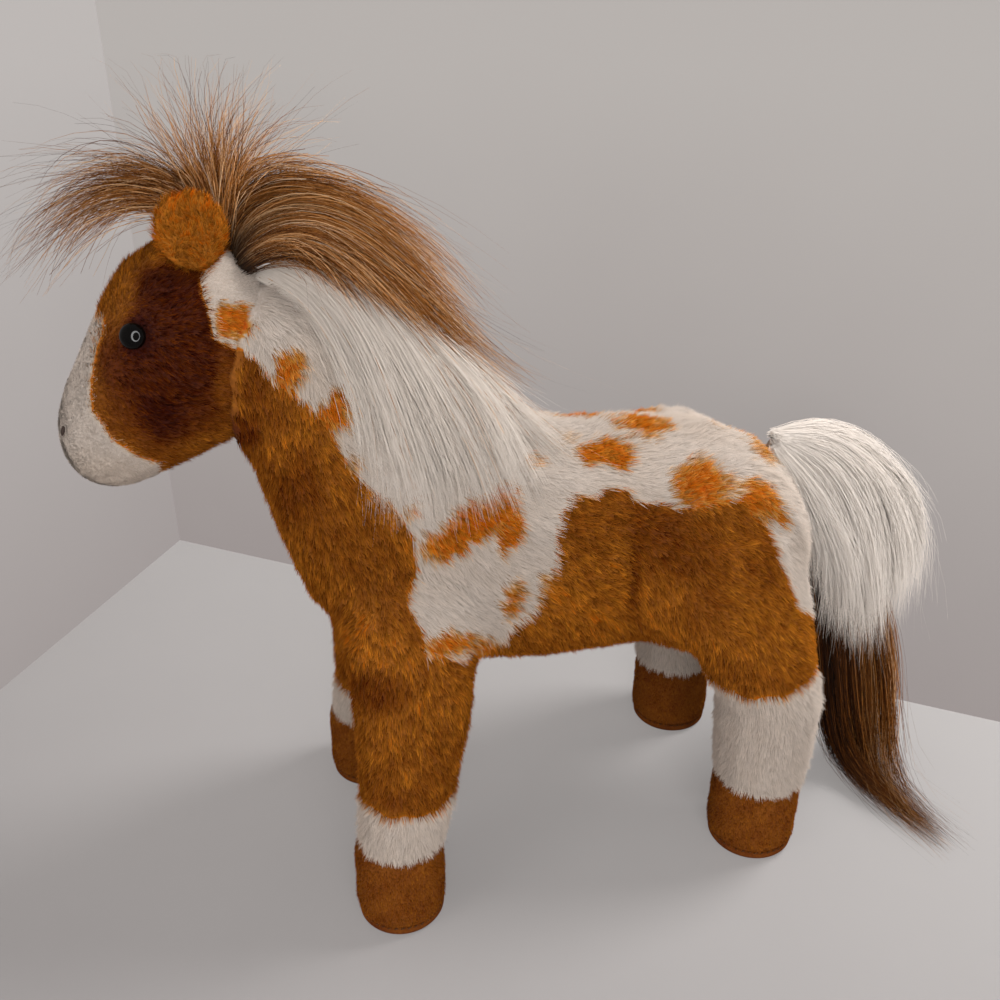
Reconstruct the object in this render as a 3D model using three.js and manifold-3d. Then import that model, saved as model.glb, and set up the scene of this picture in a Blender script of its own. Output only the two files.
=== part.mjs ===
// Plush horse: a sewn, stuffed toy that stands on four velour hooves.
// Millimetres, +Z up. The horse faces -Y, and its left side is +X.

import * as THREE from "three";
import { mergeVertices } from "three/addons/utils/BufferGeometryUtils.js";
import Module from "manifold-3d";

const wasm = await Module();
wasm.setup();

// Driving dimensions of the body
const bodyLength = 272;
const backHeight = 238;
const barrelWidth = 110;
const skinThickness = 4.5;
const gap = 0.3;
const jointGap = 0.8;
const gussetWidth = 40;

// Head, ears and eyes
const headLength = 98;
const headHeight = 105;
const headWidth = 75;
const browGussetWidth = 26;
const earWidth = 28;
const earHeight = 34;
const earThickness = 9;
const earLiningSeam = 0.4;
const earSpacing = 44;
const earLean = 14;
const earFlex = 25;
const nodDown = 8;
const nodUp = 10;
const eyeDiameter = 9.6;
const eyeBulge = 3.8;
const eyeRim = 0.9;
const shankDiameter = 3;
const shankLength = 13;
const washerDiameter = 12;
const washerThickness = 1.6;

// Legs: the hooves stand on a rectangle, and each leg swings about its root
const hoofSpacing = 197;
const hoofTrack = 112;
const rootTrack = 88;
const shoulderDiameter = 72;
const hipDiameter = 108;
const rootDepth = 41;
const frontLegDiameter = 47;
const hindLegDiameter = 54;
const frontHoofDiameter = 44;
const hindHoofDiameter = 46;
const hoofHeight = 43;
const hoofWall = 2.5;
const soleThickness = 5;
const frontSockTop = 70;
const hindSockTop = 112;
const sockPile = 1.2;
const legForward = 12;
const legBack = 6;

// Mane, forelock and tail
const lockDiameter = 15;
const forelockLength = 88;
const tuftLength = 118;
const maneDrop = 118;
const maneThickness = 13;
const dockDiameter = 18;
const tailLength = 205;
const tailReach = 84;
const tailSweep = 92;
const tailThickness = 46;
const tailLift = 35;
const tailSway = 15;

// Facets
const roundSteps = 16;
const loftSteps = 12;
const legSides = 12;
const legSteps = 5;
const domeSteps = 20;
const smallSides = 10;
const lockSides = 5;
const lockSteps = 6;
const tailSteps = 7;
const sweepStep = 9;

const halfTurn = Math.PI;
const degree = Math.PI / 180;

const colours = {
  goldenPlush: 0xa8682a,
  darkPlush: 0x6b3415,
  earPlush: 0xc08432,
  creamPlush: 0xe6dccf,
  hoofVelour: 0x8d5a2e,
  soleVelour: 0x9a6534,
  stuffing: 0xf2f0ea,
  eyeBlack: 0x0b0a0a,
  washerPlastic: 0xd9d9d4,
  brownHair: 0x6e4223,
  whiteHair: 0xece6da,
};

// Solids and meshes

function solidFrom(geometry) {
  const bare = new THREE.BufferGeometry();
  bare.setAttribute("position", geometry.getAttribute("position").clone());
  if (geometry.index) {
    bare.setIndex(geometry.index.clone());
  }
  const merged = mergeVertices(bare);
  return new wasm.Manifold(new wasm.Mesh({
    numProp: 3,
    vertProperties: new Float32Array(merged.getAttribute("position").array),
    triVerts: new Uint32Array(merged.index.array),
  }));
}

function geometryFrom(solid) {
  const mesh = solid.getMesh();
  const geometry = new THREE.BufferGeometry();
  geometry.setAttribute("position", new THREE.BufferAttribute(mesh.vertProperties, 3));
  geometry.setIndex(new THREE.BufferAttribute(mesh.triVerts, 1));
  geometry.computeVertexNormals();
  return geometry;
}

// A cut can leave crumbs beside a piece: only its largest body is kept
function largestPiece(solid) {
  const mesh = solid.getMesh();
  const faces = mesh.triVerts;
  const owner = Array.from({ length: mesh.vertProperties.length / 3 }, (_, i) => i);
  const find = (i) => {
    let root = i;
    while (owner[root] !== root) {
      owner[root] = owner[owner[root]];
      root = owner[root];
    }
    return root;
  };
  for (let face = 0; face < faces.length; face += 3) {
    owner[find(faces[face + 1])] = find(faces[face]);
    owner[find(faces[face + 2])] = find(faces[face]);
  }
  const bodies = new Map();
  for (let face = 0; face < faces.length; face += 3) {
    const root = find(faces[face]);
    if (!bodies.has(root)) {
      bodies.set(root, []);
    }
    bodies.get(root).push(faces[face], faces[face + 1], faces[face + 2]);
  }
  const shapes = [...bodies.values()].map((triangles) => {
    const geometry = new THREE.BufferGeometry();
    geometry.setAttribute("position", new THREE.BufferAttribute(mesh.vertProperties, 3));
    geometry.setIndex(triangles);
    return geometry;
  });
  return solidFrom(shapes.reduce((best, shape) => (volumeOf(shape) > volumeOf(best) ? shape : best)));
}

function volumeOf(geometry) {
  const places = geometry.getAttribute("position");
  const corner = (i) => new THREE.Vector3().fromBufferAttribute(places, geometry.index.getX(i));
  let volume = 0;
  for (let i = 0; i < geometry.index.count; i += 3) {
    volume += corner(i).dot(corner(i + 1).cross(corner(i + 2))) / 6;
  }
  return volume;
}

function joined(solids) {
  return solids.reduce((whole, solid) => whole.add(solid));
}

function cutBy(solid, cutters) {
  return cutters.reduce((rest, cutter) => rest.subtract(cutter), solid);
}

function turned(geometry, pivot, axis, angle) {
  const moved = geometry.clone();
  moved.translate(-pivot.x, -pivot.y, -pivot.z);
  moved.applyMatrix4(new THREE.Matrix4().makeRotationAxis(axis, angle * degree));
  moved.translate(pivot.x, pivot.y, pivot.z);
  return moved;
}

// The space that a moving form passes through, as one solid for each step of its travel
function sweptSolids(geometry, hinge) {
  const angles = [0];
  for (const limit of [hinge.low, hinge.high]) {
    const steps = Math.ceil(Math.abs(limit) / sweepStep);
    for (let step = 1; step <= steps; step += 1) {
      angles.push(limit * step / steps);
    }
  }
  return angles.map((angle) => solidFrom(turned(geometry, hinge.pivot, hinge.axis, angle)));
}

// A form moved outwards along its normals, or inwards by a negative distance
function offset(geometry, distance) {
  const grown = geometry.clone();
  grown.deleteAttribute("normal");
  grown.deleteAttribute("uv");
  const smooth = mergeVertices(grown);
  smooth.computeVertexNormals();
  const places = smooth.getAttribute("position");
  const normals = smooth.getAttribute("normal");
  for (let i = 0; i < places.count; i += 1) {
    const x = places.getX(i) + distance * normals.getX(i);
    const y = places.getY(i) + distance * normals.getY(i);
    const z = places.getZ(i) + distance * normals.getZ(i);
    places.setXYZ(i, x, y, z);
  }
  return smooth;
}

// Rings of points joined into a closed skin, with a point at each end
function ringsGeometry(rings, start, end) {
  const sides = rings[0].length;
  const points = [start, ...rings.flat(), end];
  const last = points.length - 1;
  const faces = [];
  for (let side = 0; side < sides; side += 1) {
    const next = (side + 1) % sides;
    faces.push(0, 1 + next, 1 + side);
    for (let ring = 0; ring + 1 < rings.length; ring += 1) {
      const a = 1 + ring * sides + side;
      const b = 1 + ring * sides + next;
      faces.push(a, b, a + sides, b, b + sides, a + sides);
    }
    const base = 1 + (rings.length - 1) * sides;
    faces.push(base + side, base + next, last);
  }
  const geometry = new THREE.BufferGeometry().setFromPoints(points);
  geometry.setIndex(faces);
  return geometry;
}

function curveThrough(points) {
  return new THREE.CatmullRomCurve3(points, false, "centripetal");
}

// A rounded unit outline, a little fuller than a circle
function fuller(value, fullness) {
  return Math.sign(value) * Math.abs(value) ** fullness;
}

// Body and head: sections across the middle plane, each from a top to a bottom point
const fullnessShare = 0.9;
const gussetTopShare = 0.60;
const panelSplitShare = -0.22;
const neckTilt = 32;
const neckSeatShares = [-0.276, 0.887];
const browLineShare = 0.10;
const muzzleEdgeShares = [
  [-0.335, 0.160],
  [-0.385, -0.040],
  [-0.345, -0.155],
  [-0.255, -0.300],
  [-0.150, -0.460],
  [-0.060, -0.700],
  [-0.800, -0.700],
  [-0.800, 0.160],
];

function profileLoft(stations, start, end, steps) {
  const tops = curveThrough(stations.map((s) => new THREE.Vector3(s.half, s.top.y, s.top.z)));
  const bottoms = curveThrough(stations.map((s) => new THREE.Vector3(s.half, s.bottom.y, s.bottom.z)));
  const rings = [];
  for (let step = 0; step < steps; step += 1) {
    const top = tops.getPoint(step / (steps - 1));
    const bottom = bottoms.getPoint(step / (steps - 1));
    const ring = [];
    for (let side = 0; side < roundSteps; side += 1) {
      const angle = 2 * halfTurn * side / roundSteps;
      const up = (1 + fuller(Math.cos(angle), fullnessShare)) / 2;
      ring.push(new THREE.Vector3(
        -fuller(Math.sin(angle), fullnessShare) * (top.x + bottom.x) / 2,
        bottom.y + (top.y - bottom.y) * up,
        bottom.z + (top.z - bottom.z) * up,
      ));
    }
    rings.push(ring);
  }
  return ringsGeometry(rings, start, end);
}

function bodyPoint(yShare, zShare) {
  return new THREE.Vector3(0, yShare * bodyLength, zShare * backHeight);
}

// Top y and z, bottom y and z, and half width, from the rump to inside the head
const bodyStationShares = [
  [0.480, 0.765, 0.480, 0.640, 0.30],
  [0.463, 0.832, 0.456, 0.538, 0.56],
  [0.420, 0.885, 0.397, 0.496, 0.77],
  [0.347, 0.940, 0.312, 0.479, 0.91],
  [0.228, 0.975, 0.202, 0.471, 0.98],
  [0.110, 0.982, 0.055, 0.471, 1.00],
  [0.018, 0.988, -0.092, 0.475, 1.00],
  [-0.074, 1.018, -0.228, 0.496, 1.00],
  [-0.155, 1.100, -0.360, 0.538, 0.97],
  [-0.240, 1.174, -0.449, 0.613, 0.89],
  [-0.335, 1.243, -0.493, 0.735, 0.81],
  [-0.423, 1.305, -0.526, 0.874, 0.75],
  [-0.504, 1.345, -0.551, 0.992, 0.69],
  [-0.577, 1.345, -0.577, 1.040, 0.64],
];
const rumpShares = [0.489, 0.700];
const neckEndShares = [-0.600, 1.200];

function bodyForm() {
  const stations = bodyStationShares.map(([topY, topZ, bottomY, bottomZ, half]) => ({
    top: bodyPoint(topY, topZ),
    bottom: bodyPoint(bottomY, bottomZ),
    half: half * barrelWidth / 2,
  }));
  return profileLoft(stations, bodyPoint(...rumpShares), bodyPoint(...neckEndShares), loftSteps);
}

const headCentreShares = [-0.627, 1.207];
const headCentre = bodyPoint(...headCentreShares);

function headPoint(yShare, zShare) {
  return new THREE.Vector3(0, headCentre.y + yShare * headLength, headCentre.z + zShare * headHeight);
}

// Top y and z, bottom y and z, and half width, from the back of the head to the nose
const headStationShares = [
  [0.413, 0.205, 0.413, -0.205, 0.46],
  [0.327, 0.310, 0.327, -0.310, 0.71],
  [0.204, 0.388, 0.204, -0.388, 0.88],
  [0.031, 0.432, 0.060, -0.436, 0.97],
  [-0.125, 0.405, -0.045, -0.480, 1.00],
  [-0.255, 0.290, -0.150, -0.515, 0.96],
  [-0.345, 0.140, -0.240, -0.545, 0.87],
  [-0.425, 0.000, -0.325, -0.560, 0.78],
  [-0.490, -0.100, -0.392, -0.555, 0.69],
  [-0.545, -0.220, -0.465, -0.520, 0.54],
  [-0.560, -0.310, -0.520, -0.465, 0.30],
];
const headBackShares = [0.465, 0.000];
const headBallShare = 0.472;
const noseShares = [-0.566, -0.390];

function headForm() {
  const stations = headStationShares.map(([topY, topZ, bottomY, bottomZ, half]) => ({
    top: headPoint(topY, topZ),
    bottom: headPoint(bottomY, bottomZ),
    half: half * headWidth / 2,
  }));
  return profileLoft(stations, headPoint(...headBackShares), headPoint(...noseShares), loftSteps);
}

// A flat outline in the YZ plane as a prism from one x to another
function sidePrism(points, low, high) {
  const outline = new THREE.Shape(points.map((point) => new THREE.Vector2(point.y, point.z)));
  const prism = new THREE.ExtrudeGeometry(outline, { depth: high - low, bevelEnabled: false });
  prism.applyMatrix4(new THREE.Matrix4().set(
    0, 0, 1, low,
    1, 0, 0, 0,
    0, 1, 0, 0,
    0, 0, 0, 1,
  ));
  return solidFrom(prism);
}

function boxSolid(low, high) {
  const size = new THREE.Vector3().subVectors(high, low);
  const box = new THREE.BoxGeometry(size.x, size.y, size.z);
  box.translate((low.x + high.x) / 2, (low.y + high.y) / 2, (low.z + high.z) / 2);
  return solidFrom(box);
}

const reach = 2 * bodyLength;

function slab(lowX, highX) {
  return boxSolid(new THREE.Vector3(lowX, -reach, -reach), new THREE.Vector3(highX, reach, reach));
}

function layer(lowZ, highZ) {
  return boxSolid(new THREE.Vector3(-reach, -reach, lowZ), new THREE.Vector3(reach, reach, highZ));
}

// Legs

const legs = [
  { name: "front_left", side: 1, front: true },
  { name: "front_right", side: -1, front: true },
  { name: "hind_left", side: 1, front: false },
  { name: "hind_right", side: -1, front: false },
];

const shoulderShares = [-0.312, 0.645];
const hipShares = [0.250, 0.714];

function legRoot(leg) {
  const root = bodyPoint(...(leg.front ? shoulderShares : hipShares));
  root.x = leg.side * rootTrack / 2;
  return root;
}

function legHinge(leg) {
  return {
    pivot: legRoot(leg),
    axis: new THREE.Vector3(1, 0, 0),
    low: -legForward,
    high: legBack,
  };
}

function hoofPlace(leg) {
  const along = leg.front ? -hoofSpacing / 2 : hoofSpacing / 2;
  return new THREE.Vector3(leg.side * hoofTrack / 2, along, 0);
}

// Height, way from the root to the hoof, and radii along and across the horse
const frontLegShares = [
  [1.080, 0.00, 1.18, 0.78],
  [1.000, 0.00, 1.34, 0.98],
  [0.840, 0.06, 1.36, 1.10],
  [0.660, 0.20, 1.21, 1.06],
  [0.500, 0.42, 1.08, 1.00],
  [0.400, 0.62, 1.03, 0.98],
  [0.280, 0.90, 0.90, 0.90],
  [0.170, 1.00, 0.82, 0.82],
];
const hindLegShares = [
  [1.120, 0.05, 1.45, 0.80],
  [0.980, 0.12, 1.70, 1.00],
  [0.840, 0.32, 1.58, 1.08],
  [0.740, 0.62, 1.27, 1.08],
  [0.650, 0.90, 1.09, 1.05],
  [0.540, 1.02, 0.99, 1.00],
  [0.370, 1.04, 0.95, 0.96],
  [0.250, 1.00, 0.88, 0.88],
  [0.150, 1.00, 0.80, 0.80],
];
const legCapShare = 0.04;
const swingRows = 5;
const swingGap = 3.2;

function ovalRing(middle, across, along) {
  return Array.from({ length: legSides }, (_, side) => {
    const angle = 2 * halfTurn * side / legSides;
    return new THREE.Vector3(
      middle.x + Math.cos(angle) * across,
      middle.y - Math.sin(angle) * along,
      middle.z,
    );
  });
}

function ringCentre(ring) {
  const sum = ring.reduce((total, point) => total.add(point), new THREE.Vector3());
  return sum.divideScalar(ring.length);
}

function legRows(leg) {
  const root = legRoot(leg);
  const hoof = hoofPlace(leg);
  const table = leg.front ? frontLegShares : hindLegShares;
  const radius = (leg.front ? frontLegDiameter : hindLegDiameter) / 2;
  return table.map(([height, way, along, across]) => ({
    centre: new THREE.Vector3(
      root.x + (hoof.x - root.x) * way,
      root.y + (hoof.y - root.y) * way,
      height * root.z,
    ),
    along: along * radius,
    across: across * radius,
  }));
}

function legLoft(leg) {
  const rows = legRows(leg);
  const centres = curveThrough(rows.map((row) => row.centre));
  const radii = curveThrough(rows.map((row) => new THREE.Vector3(row.across, row.along, row.centre.z)));
  const rings = [];
  for (let step = 0; step <= legSteps; step += 1) {
    const size = radii.getPoint(step / legSteps);
    rings.push(ovalRing(centres.getPoint(step / legSteps), size.x, size.y));
  }
  const top = rows[0].centre.clone();
  top.z += legCapShare * legRoot(leg).z;
  return ringsGeometry(rings, top, rows[rows.length - 1].centre);
}

// The round root of a leg, turned about the hinge so that it fits its socket at every angle
const domeProfileShares = [
  [0.00, 0.00],
  [0.92, 0.00],
  [1.00, 0.16],
  [1.00, 0.40],
  [0.80, 0.82],
  [0.00, 1.00],
];

function legDome(leg) {
  const root = legRoot(leg);
  const radius = (leg.front ? shoulderDiameter : hipDiameter) / 2;
  const profile = domeProfileShares.map(([out, along]) => (
    new THREE.Vector2(out * radius, (along - 0.5) * rootDepth)));
  const dome = new THREE.LatheGeometry(profile, domeSteps);
  dome.rotateZ(-leg.side * halfTurn / 2);
  dome.translate(root.x, root.y, root.z);
  return dome;
}

const hoofProfileShares = [
  [0.00, 0.00],
  [0.90, 0.00],
  [1.01, 0.14],
  [1.00, 0.62],
  [0.90, 1.16],
  [0.00, 1.16],
];

function hoofForm(leg) {
  const radius = (leg.front ? frontHoofDiameter : hindHoofDiameter) / 2;
  const profile = hoofProfileShares.map(([out, up]) => new THREE.Vector2(out * radius, up * hoofHeight));
  const hoof = new THREE.LatheGeometry(profile, legSides);
  hoof.rotateX(halfTurn / 2);
  const place = hoofPlace(leg);
  hoof.translate(place.x, place.y, 0);
  return hoof;
}

function legPieces(leg) {
  const loft = legLoft(leg);
  const dome = legDome(leg);
  const hoof = hoofForm(leg);
  const sockTop = leg.front ? frontSockTop : hindSockTop;
  const outer = solidFrom(loft).add(solidFrom(dome));
  const inner = solidFrom(offset(loft, -skinThickness)).add(solidFrom(offset(dome, -skinThickness)));
  const core = solidFrom(offset(loft, -skinThickness - gap))
    .add(solidFrom(offset(dome, -skinThickness - gap)));
  const hoofInner = solidFrom(offset(hoof, -hoofWall));
  const hoofCore = solidFrom(offset(hoof, -hoofWall - gap));
  const sockOuter = solidFrom(offset(loft, sockPile));
  const inHoof = layer(soleThickness + gap, hoofHeight);
  // The stuffing in the hoof reaches a little into the leg's, so the two stay one at any size
  const intoLeg = layer(soleThickness + gap, hoofHeight + gap);
  return {
    skin: largestPiece(outer.subtract(inner).intersect(layer(sockTop + gap, reach))),
    sock: sockOuter.subtract(inner).intersect(layer(hoofHeight + gap, sockTop)),
    hoof: solidFrom(hoof).subtract(hoofInner).intersect(inHoof),
    sole: solidFrom(hoof).intersect(layer(0, soleThickness)),
    stuffing: core.intersect(layer(hoofHeight, reach)).add(hoofCore.intersect(intoLeg)),
  };
}

// What a leg needs cut out of the body: a round socket, and room for the limb to swing
function legRoom(leg) {
  const root = legRoot(leg);
  const rows = legRows(leg);
  const forward = Math.tan(legForward * degree);
  const back = Math.tan(legBack * degree);
  const rings = rows.slice(0, swingRows).map(({ centre, along, across }) => {
    const drop = root.z - centre.z;
    const ahead = drop > 0 ? drop * forward : -drop * back;
    const behind = drop > 0 ? drop * back : -drop * forward;
    const middle = new THREE.Vector3(centre.x, centre.y + (behind - ahead) / 2, centre.z);
    return ovalRing(middle, across + swingGap, along + swingGap + (ahead + behind) / 2);
  });
  const swing = ringsGeometry(rings, ringCentre(rings[0]), ringCentre(rings[rings.length - 1]));
  return [solidFrom(offset(legDome(leg), jointGap)), solidFrom(swing)];
}

// The back of the head is round about the nod hinge, so its socket in the neck is round too
function headRoom() {
  const profile = Array.from({ length: legSides + 1 }, (_, i) => {
    const angle = halfTurn * i / legSides;
    return new THREE.Vector2(
      fuller(Math.sin(angle), fullnessShare) * (headBallShare * headLength + jointGap),
      -fuller(Math.cos(angle), fullnessShare) * (headWidth / 2 + jointGap),
    );
  });
  const ball = new THREE.LatheGeometry(profile, domeSteps);
  ball.rotateZ(-halfTurn / 2);
  ball.translate(headCentre.x, headCentre.y, headCentre.z);
  return solidFrom(ball);
}

const nodHinge = {
  pivot: headCentre,
  axis: new THREE.Vector3(1, 0, 0),
  low: -nodUp,
  high: nodDown,
};

// Eyes: a domed front on a shank, locked by a washer behind the skin

const eyeShares = [-0.160, 0.138];
const eyeDomeShares = [
  [1.00, 0.00],
  [1.00, 0.14],
  [0.88, 0.56],
  [0.50, 0.91],
  [0.00, 1.00],
];

function headSurface(form, side) {
  const target = headPoint(...eyeShares);
  const from = new THREE.Vector3(side * headWidth, target.y, target.z);
  const ray = new THREE.Raycaster(from, new THREE.Vector3(-side, 0, 0));
  const mesh = new THREE.Mesh(form, new THREE.MeshStandardMaterial({ side: THREE.DoubleSide }));
  const smooth = offset(form, 0);
  const hit = ray.intersectObject(mesh)[0];
  const places = smooth.getAttribute("position");
  const normals = smooth.getAttribute("normal");
  const normal = new THREE.Vector3();
  for (let i = 0; i < places.count; i += 1) {
    const point = new THREE.Vector3().fromBufferAttribute(places, i);
    const weight = 1 / (eyeDiameter + point.distanceTo(hit.point)) ** 3;
    normal.addScaledVector(new THREE.Vector3().fromBufferAttribute(normals, i), weight);
  }
  return { point: hit.point, normal: normal.normalize() };
}

function turnedPiece(profile, seat, lift) {
  const piece = new THREE.LatheGeometry(profile, smallSides);
  const up = new THREE.Vector3(0, 1, 0);
  const turn = new THREE.Quaternion().setFromUnitVectors(up, seat.normal);
  piece.applyQuaternion(turn);
  piece.translate(
    seat.point.x + seat.normal.x * lift,
    seat.point.y + seat.normal.y * lift,
    seat.point.z + seat.normal.z * lift,
  );
  return piece;
}

function eyePiece(seat, grow) {
  const radius = eyeDiameter / 2;
  const shank = shankDiameter / 2 + grow;
  const dome = eyeDomeShares.map(([out, up]) => new THREE.Vector2(out * radius, eyeRim + up * eyeBulge));
  const profile = [
    new THREE.Vector2(0, -shankLength - grow),
    new THREE.Vector2(shank, -shankLength - grow),
    new THREE.Vector2(shank, 0),
    new THREE.Vector2(radius, 0),
    ...dome,
  ];
  return turnedPiece(profile, seat, gap);
}

function washerPiece(seat, grow) {
  const inner = shankDiameter / 2 + gap;
  const outer = washerDiameter / 2 + grow;
  const top = -skinThickness - gap + grow;
  const bottom = -skinThickness - gap - washerThickness - grow;
  const hole = grow > 0 ? 0 : inner;
  const profile = [
    new THREE.Vector2(hole, bottom),
    new THREE.Vector2(outer, bottom),
    new THREE.Vector2(outer, top),
    new THREE.Vector2(hole, top),
    new THREE.Vector2(hole, bottom),
  ];
  return turnedPiece(profile, seat, 0);
}

// Ears: a cupped outer skin and a lining, leaning outwards

const earPlaceShares = [0.100, 0.375];
const earRootShare = 0.36;
const earCupShare = 0.66;

function earRoot(side) {
  const root = headPoint(...earPlaceShares);
  root.x = side * earSpacing / 2;
  return root;
}

function earHinge(side) {
  return { pivot: earRoot(side), axis: new THREE.Vector3(0, 1, 0), low: -earFlex, high: earFlex };
}

// An ellipsoid in the ear's own leaning frame, moved across the ear by a distance
function earEllipsoid(side, grow, across, widthScale) {
  const ear = new THREE.SphereGeometry(1, legSides, legSides / 2);
  ear.scale(earThickness / 2 + grow, widthScale * earWidth / 2 + grow, widthScale * earHeight / 2 + grow);
  ear.translate(side * across, 0, earHeight * earRootShare);
  ear.rotateY(side * earLean * degree);
  const root = earRoot(side);
  ear.translate(root.x, root.y, root.z);
  return ear;
}

function earHalfSpace(side, across) {
  const low = side > 0 ? across : -reach;
  const high = side > 0 ? reach : -across;
  const half = new THREE.BoxGeometry(high - low, 2 * reach, 2 * reach);
  half.translate((low + high) / 2, 0, 0);
  half.rotateY(side * earLean * degree);
  const root = earRoot(side);
  half.translate(root.x, root.y, root.z);
  return solidFrom(half);
}

function earPieces(side) {
  const hollow = solidFrom(earEllipsoid(side, 0, -earThickness / 2, earCupShare));
  const cupped = solidFrom(earEllipsoid(side, 0, 0, 1)).subtract(hollow);
  return {
    outer: cupped.intersect(earHalfSpace(side, -earLiningSeam)),
    lining: cupped.subtract(earHalfSpace(side, -earLiningSeam - gap)),
  };
}

// Hair: tapered locks along curves, joined into a bundle

function lockGeometry(points, radii, flatness, steps) {
  const curve = curveThrough(points);
  const widths = curveThrough(radii.map((radius) => new THREE.Vector3(radius, 0, 0)));
  const frames = curve.computeFrenetFrames(steps, false);
  const rings = [];
  for (let step = 0; step <= steps; step += 1) {
    const middle = curve.getPointAt(step / steps);
    const radius = widths.getPoint(step / steps).x;
    const ring = [];
    for (let side = 0; side < lockSides; side += 1) {
      const angle = 2 * halfTurn * side / lockSides;
      const across = frames.normals[step].clone().multiplyScalar(Math.cos(angle) * radius * flatness);
      const along = frames.binormals[step].clone().multiplyScalar(Math.sin(angle) * radius);
      ring.push(middle.clone().add(across).add(along));
    }
    rings.push(ring);
  }
  return ringsGeometry(rings, curve.getPointAt(0), curve.getPointAt(1));
}

// Places of a lock's points, as shares of its length, from its root
function bundle(root, length, locks, radiusShares, grow) {
  return joined(locks.map((shares) => {
    const points = shares.map(([x, y, z]) => new THREE.Vector3(
      root.x + x * length,
      root.y + y * length,
      root.z + z * length,
    ));
    const radii = radiusShares.map((share) => share * lockDiameter / 2 + grow);
    return solidFrom(lockGeometry(points, radii, 1, lockSteps));
  }));
}

const crownShares = [-0.548, 1.352];
const crown = bodyPoint(...crownShares);

// Each row is one lock: its points as shares of the length of the longest
const forelockShares = [
  [[0, 0, 0], [0.02, -0.16, 0.26], [0.03, -0.56, 0.30], [0.04, -0.88, 0.02]],
  [[0, 0, 0], [-0.03, -0.14, 0.30], [-0.08, -0.42, 0.44], [-0.10, -0.70, 0.24]],
  [[0, 0, 0], [0.05, -0.10, 0.30], [0.12, -0.34, 0.46], [0.20, -0.60, 0.40]],
  [[0, 0, 0], [0.00, -0.08, 0.32], [-0.03, -0.20, 0.55], [-0.05, -0.34, 0.62]],
  [[0, 0, 0], [0.02, -0.03, 0.30], [0.05, -0.07, 0.52], [0.06, -0.14, 0.66]],
];
const forelockRadiusShares = [0.85, 1.00, 0.75, 0.16];
const tuftShares = [
  [[0, 0, 0], [0.01, 0.10, 0.18], [0.03, 0.45, 0.10], [0.07, 0.96, -0.44]],
  [[0, 0, 0], [0.03, 0.10, 0.17], [0.12, 0.40, 0.04], [0.17, 0.70, -0.24]],
  [[0, 0, 0], [-0.03, 0.09, 0.17], [-0.12, 0.38, 0.06], [-0.18, 0.72, -0.20]],
  [[0, 0, 0], [0.00, 0.06, 0.22], [0.00, 0.22, 0.26], [-0.02, 0.48, 0.12]],
];
const tuftRadiusShares = [0.85, 1.00, 0.80, 0.16];

function forelockRoot() {
  return new THREE.Vector3(0, crown.y - lockDiameter / 2, crown.z);
}

function tuftRoot() {
  return new THREE.Vector3(0, crown.y + lockDiameter / 2, crown.z);
}

// The white mane: locks rooted along the crest, lying over the left side of the neck
const maneSpacingShare = 2.05;
const crestShares = [
  [-0.495, 1.340],
  [-0.423, 1.305],
  [-0.335, 1.243],
  [-0.240, 1.174],
  [-0.155, 1.100],
  [-0.105, 1.050],
];
const maneFallShares = [
  [-0.05, -0.02, 0.00],
  [0.06, 0.02, 0.06],
  [0.22, 0.10, 0.00],
  [0.36, 0.22, -0.24],
  [0.43, 0.38, -0.62],
  [0.44, 0.50, -0.92],
];
const maneRadiusShares = [1.10, 1.50, 1.65, 1.70, 1.35, 0.20];
const maneFlatness = 0.75;
const maneTaperShare = 0.62;

function maneForm() {
  const crest = curveThrough(crestShares.map((shares) => bodyPoint(...shares)));
  const gaps = Math.ceil(crest.getLength() / (maneSpacingShare * maneThickness));
  const locks = [];
  for (let row = 0; row <= gaps; row += 1) {
    const way = row / gaps;
    const root = crest.getPoint(way);
    const drop = maneDrop * (1 - maneTaperShare * way);
    const points = maneFallShares.map(([x, y, z]) => new THREE.Vector3(
      root.x + x * maneDrop,
      root.y + y * drop,
      root.z + z * drop,
    ));
    const radii = maneRadiusShares.map((share) => share * maneThickness / 2);
    locks.push(solidFrom(lockGeometry(points, radii, maneFlatness, lockSteps)));
  }
  return joined(locks);
}

// Tail

const dockShares = [0.452, 0.868];
const dockCentre = bodyPoint(...dockShares);
const tailPathShares = [
  [0.00, 0.02, 0.00],
  [0.06, 0.38, 0.04],
  [0.12, 0.62, -0.10],
  [0.16, 0.62, -0.42],
  [0.21, 0.61, -0.66],
  [0.34, 0.68, -0.87],
  [0.62, 0.76, -0.96],
  [1.06, 0.88, -0.98],
];
const tailWhiteShares = [0.42, 0.85, 1.05, 1.05, 0.35];
const tailBrownShares = [0.20, 0.35, 0.55, 0.85, 0.92, 0.66, 0.26, 0.06];
const tailLockRings = 4;
const tailLockShare = 0.52;
const tailFlatness = 0.72;
const tailSpreadShare = 0.55;

function tailPath(count) {
  return tailPathShares.slice(0, count).map(([x, y, z]) => new THREE.Vector3(
    dockCentre.x + x * tailSweep,
    dockCentre.y + y * tailReach,
    dockCentre.z + z * tailLength,
  ));
}

function tailLocks(radiusShares, grow) {
  const path = tailPath(radiusShares.length);
  const radius = tailThickness / 2;
  const locks = [];
  for (let ring = 0; ring < tailLockRings; ring += 1) {
    const angle = 2 * halfTurn * ring / tailLockRings;
    const points = path.map((point, i) => new THREE.Vector3(
      point.x + Math.cos(angle) * radiusShares[i] * radius * tailSpreadShare * tailFlatness,
      point.y + Math.sin(angle) * radiusShares[i] * radius * tailSpreadShare,
      point.z,
    ));
    const radii = radiusShares.map((share) => share * radius * tailLockShare + grow);
    locks.push(solidFrom(lockGeometry(points, radii, 1, tailSteps)));
  }
  return joined(locks);
}

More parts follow.
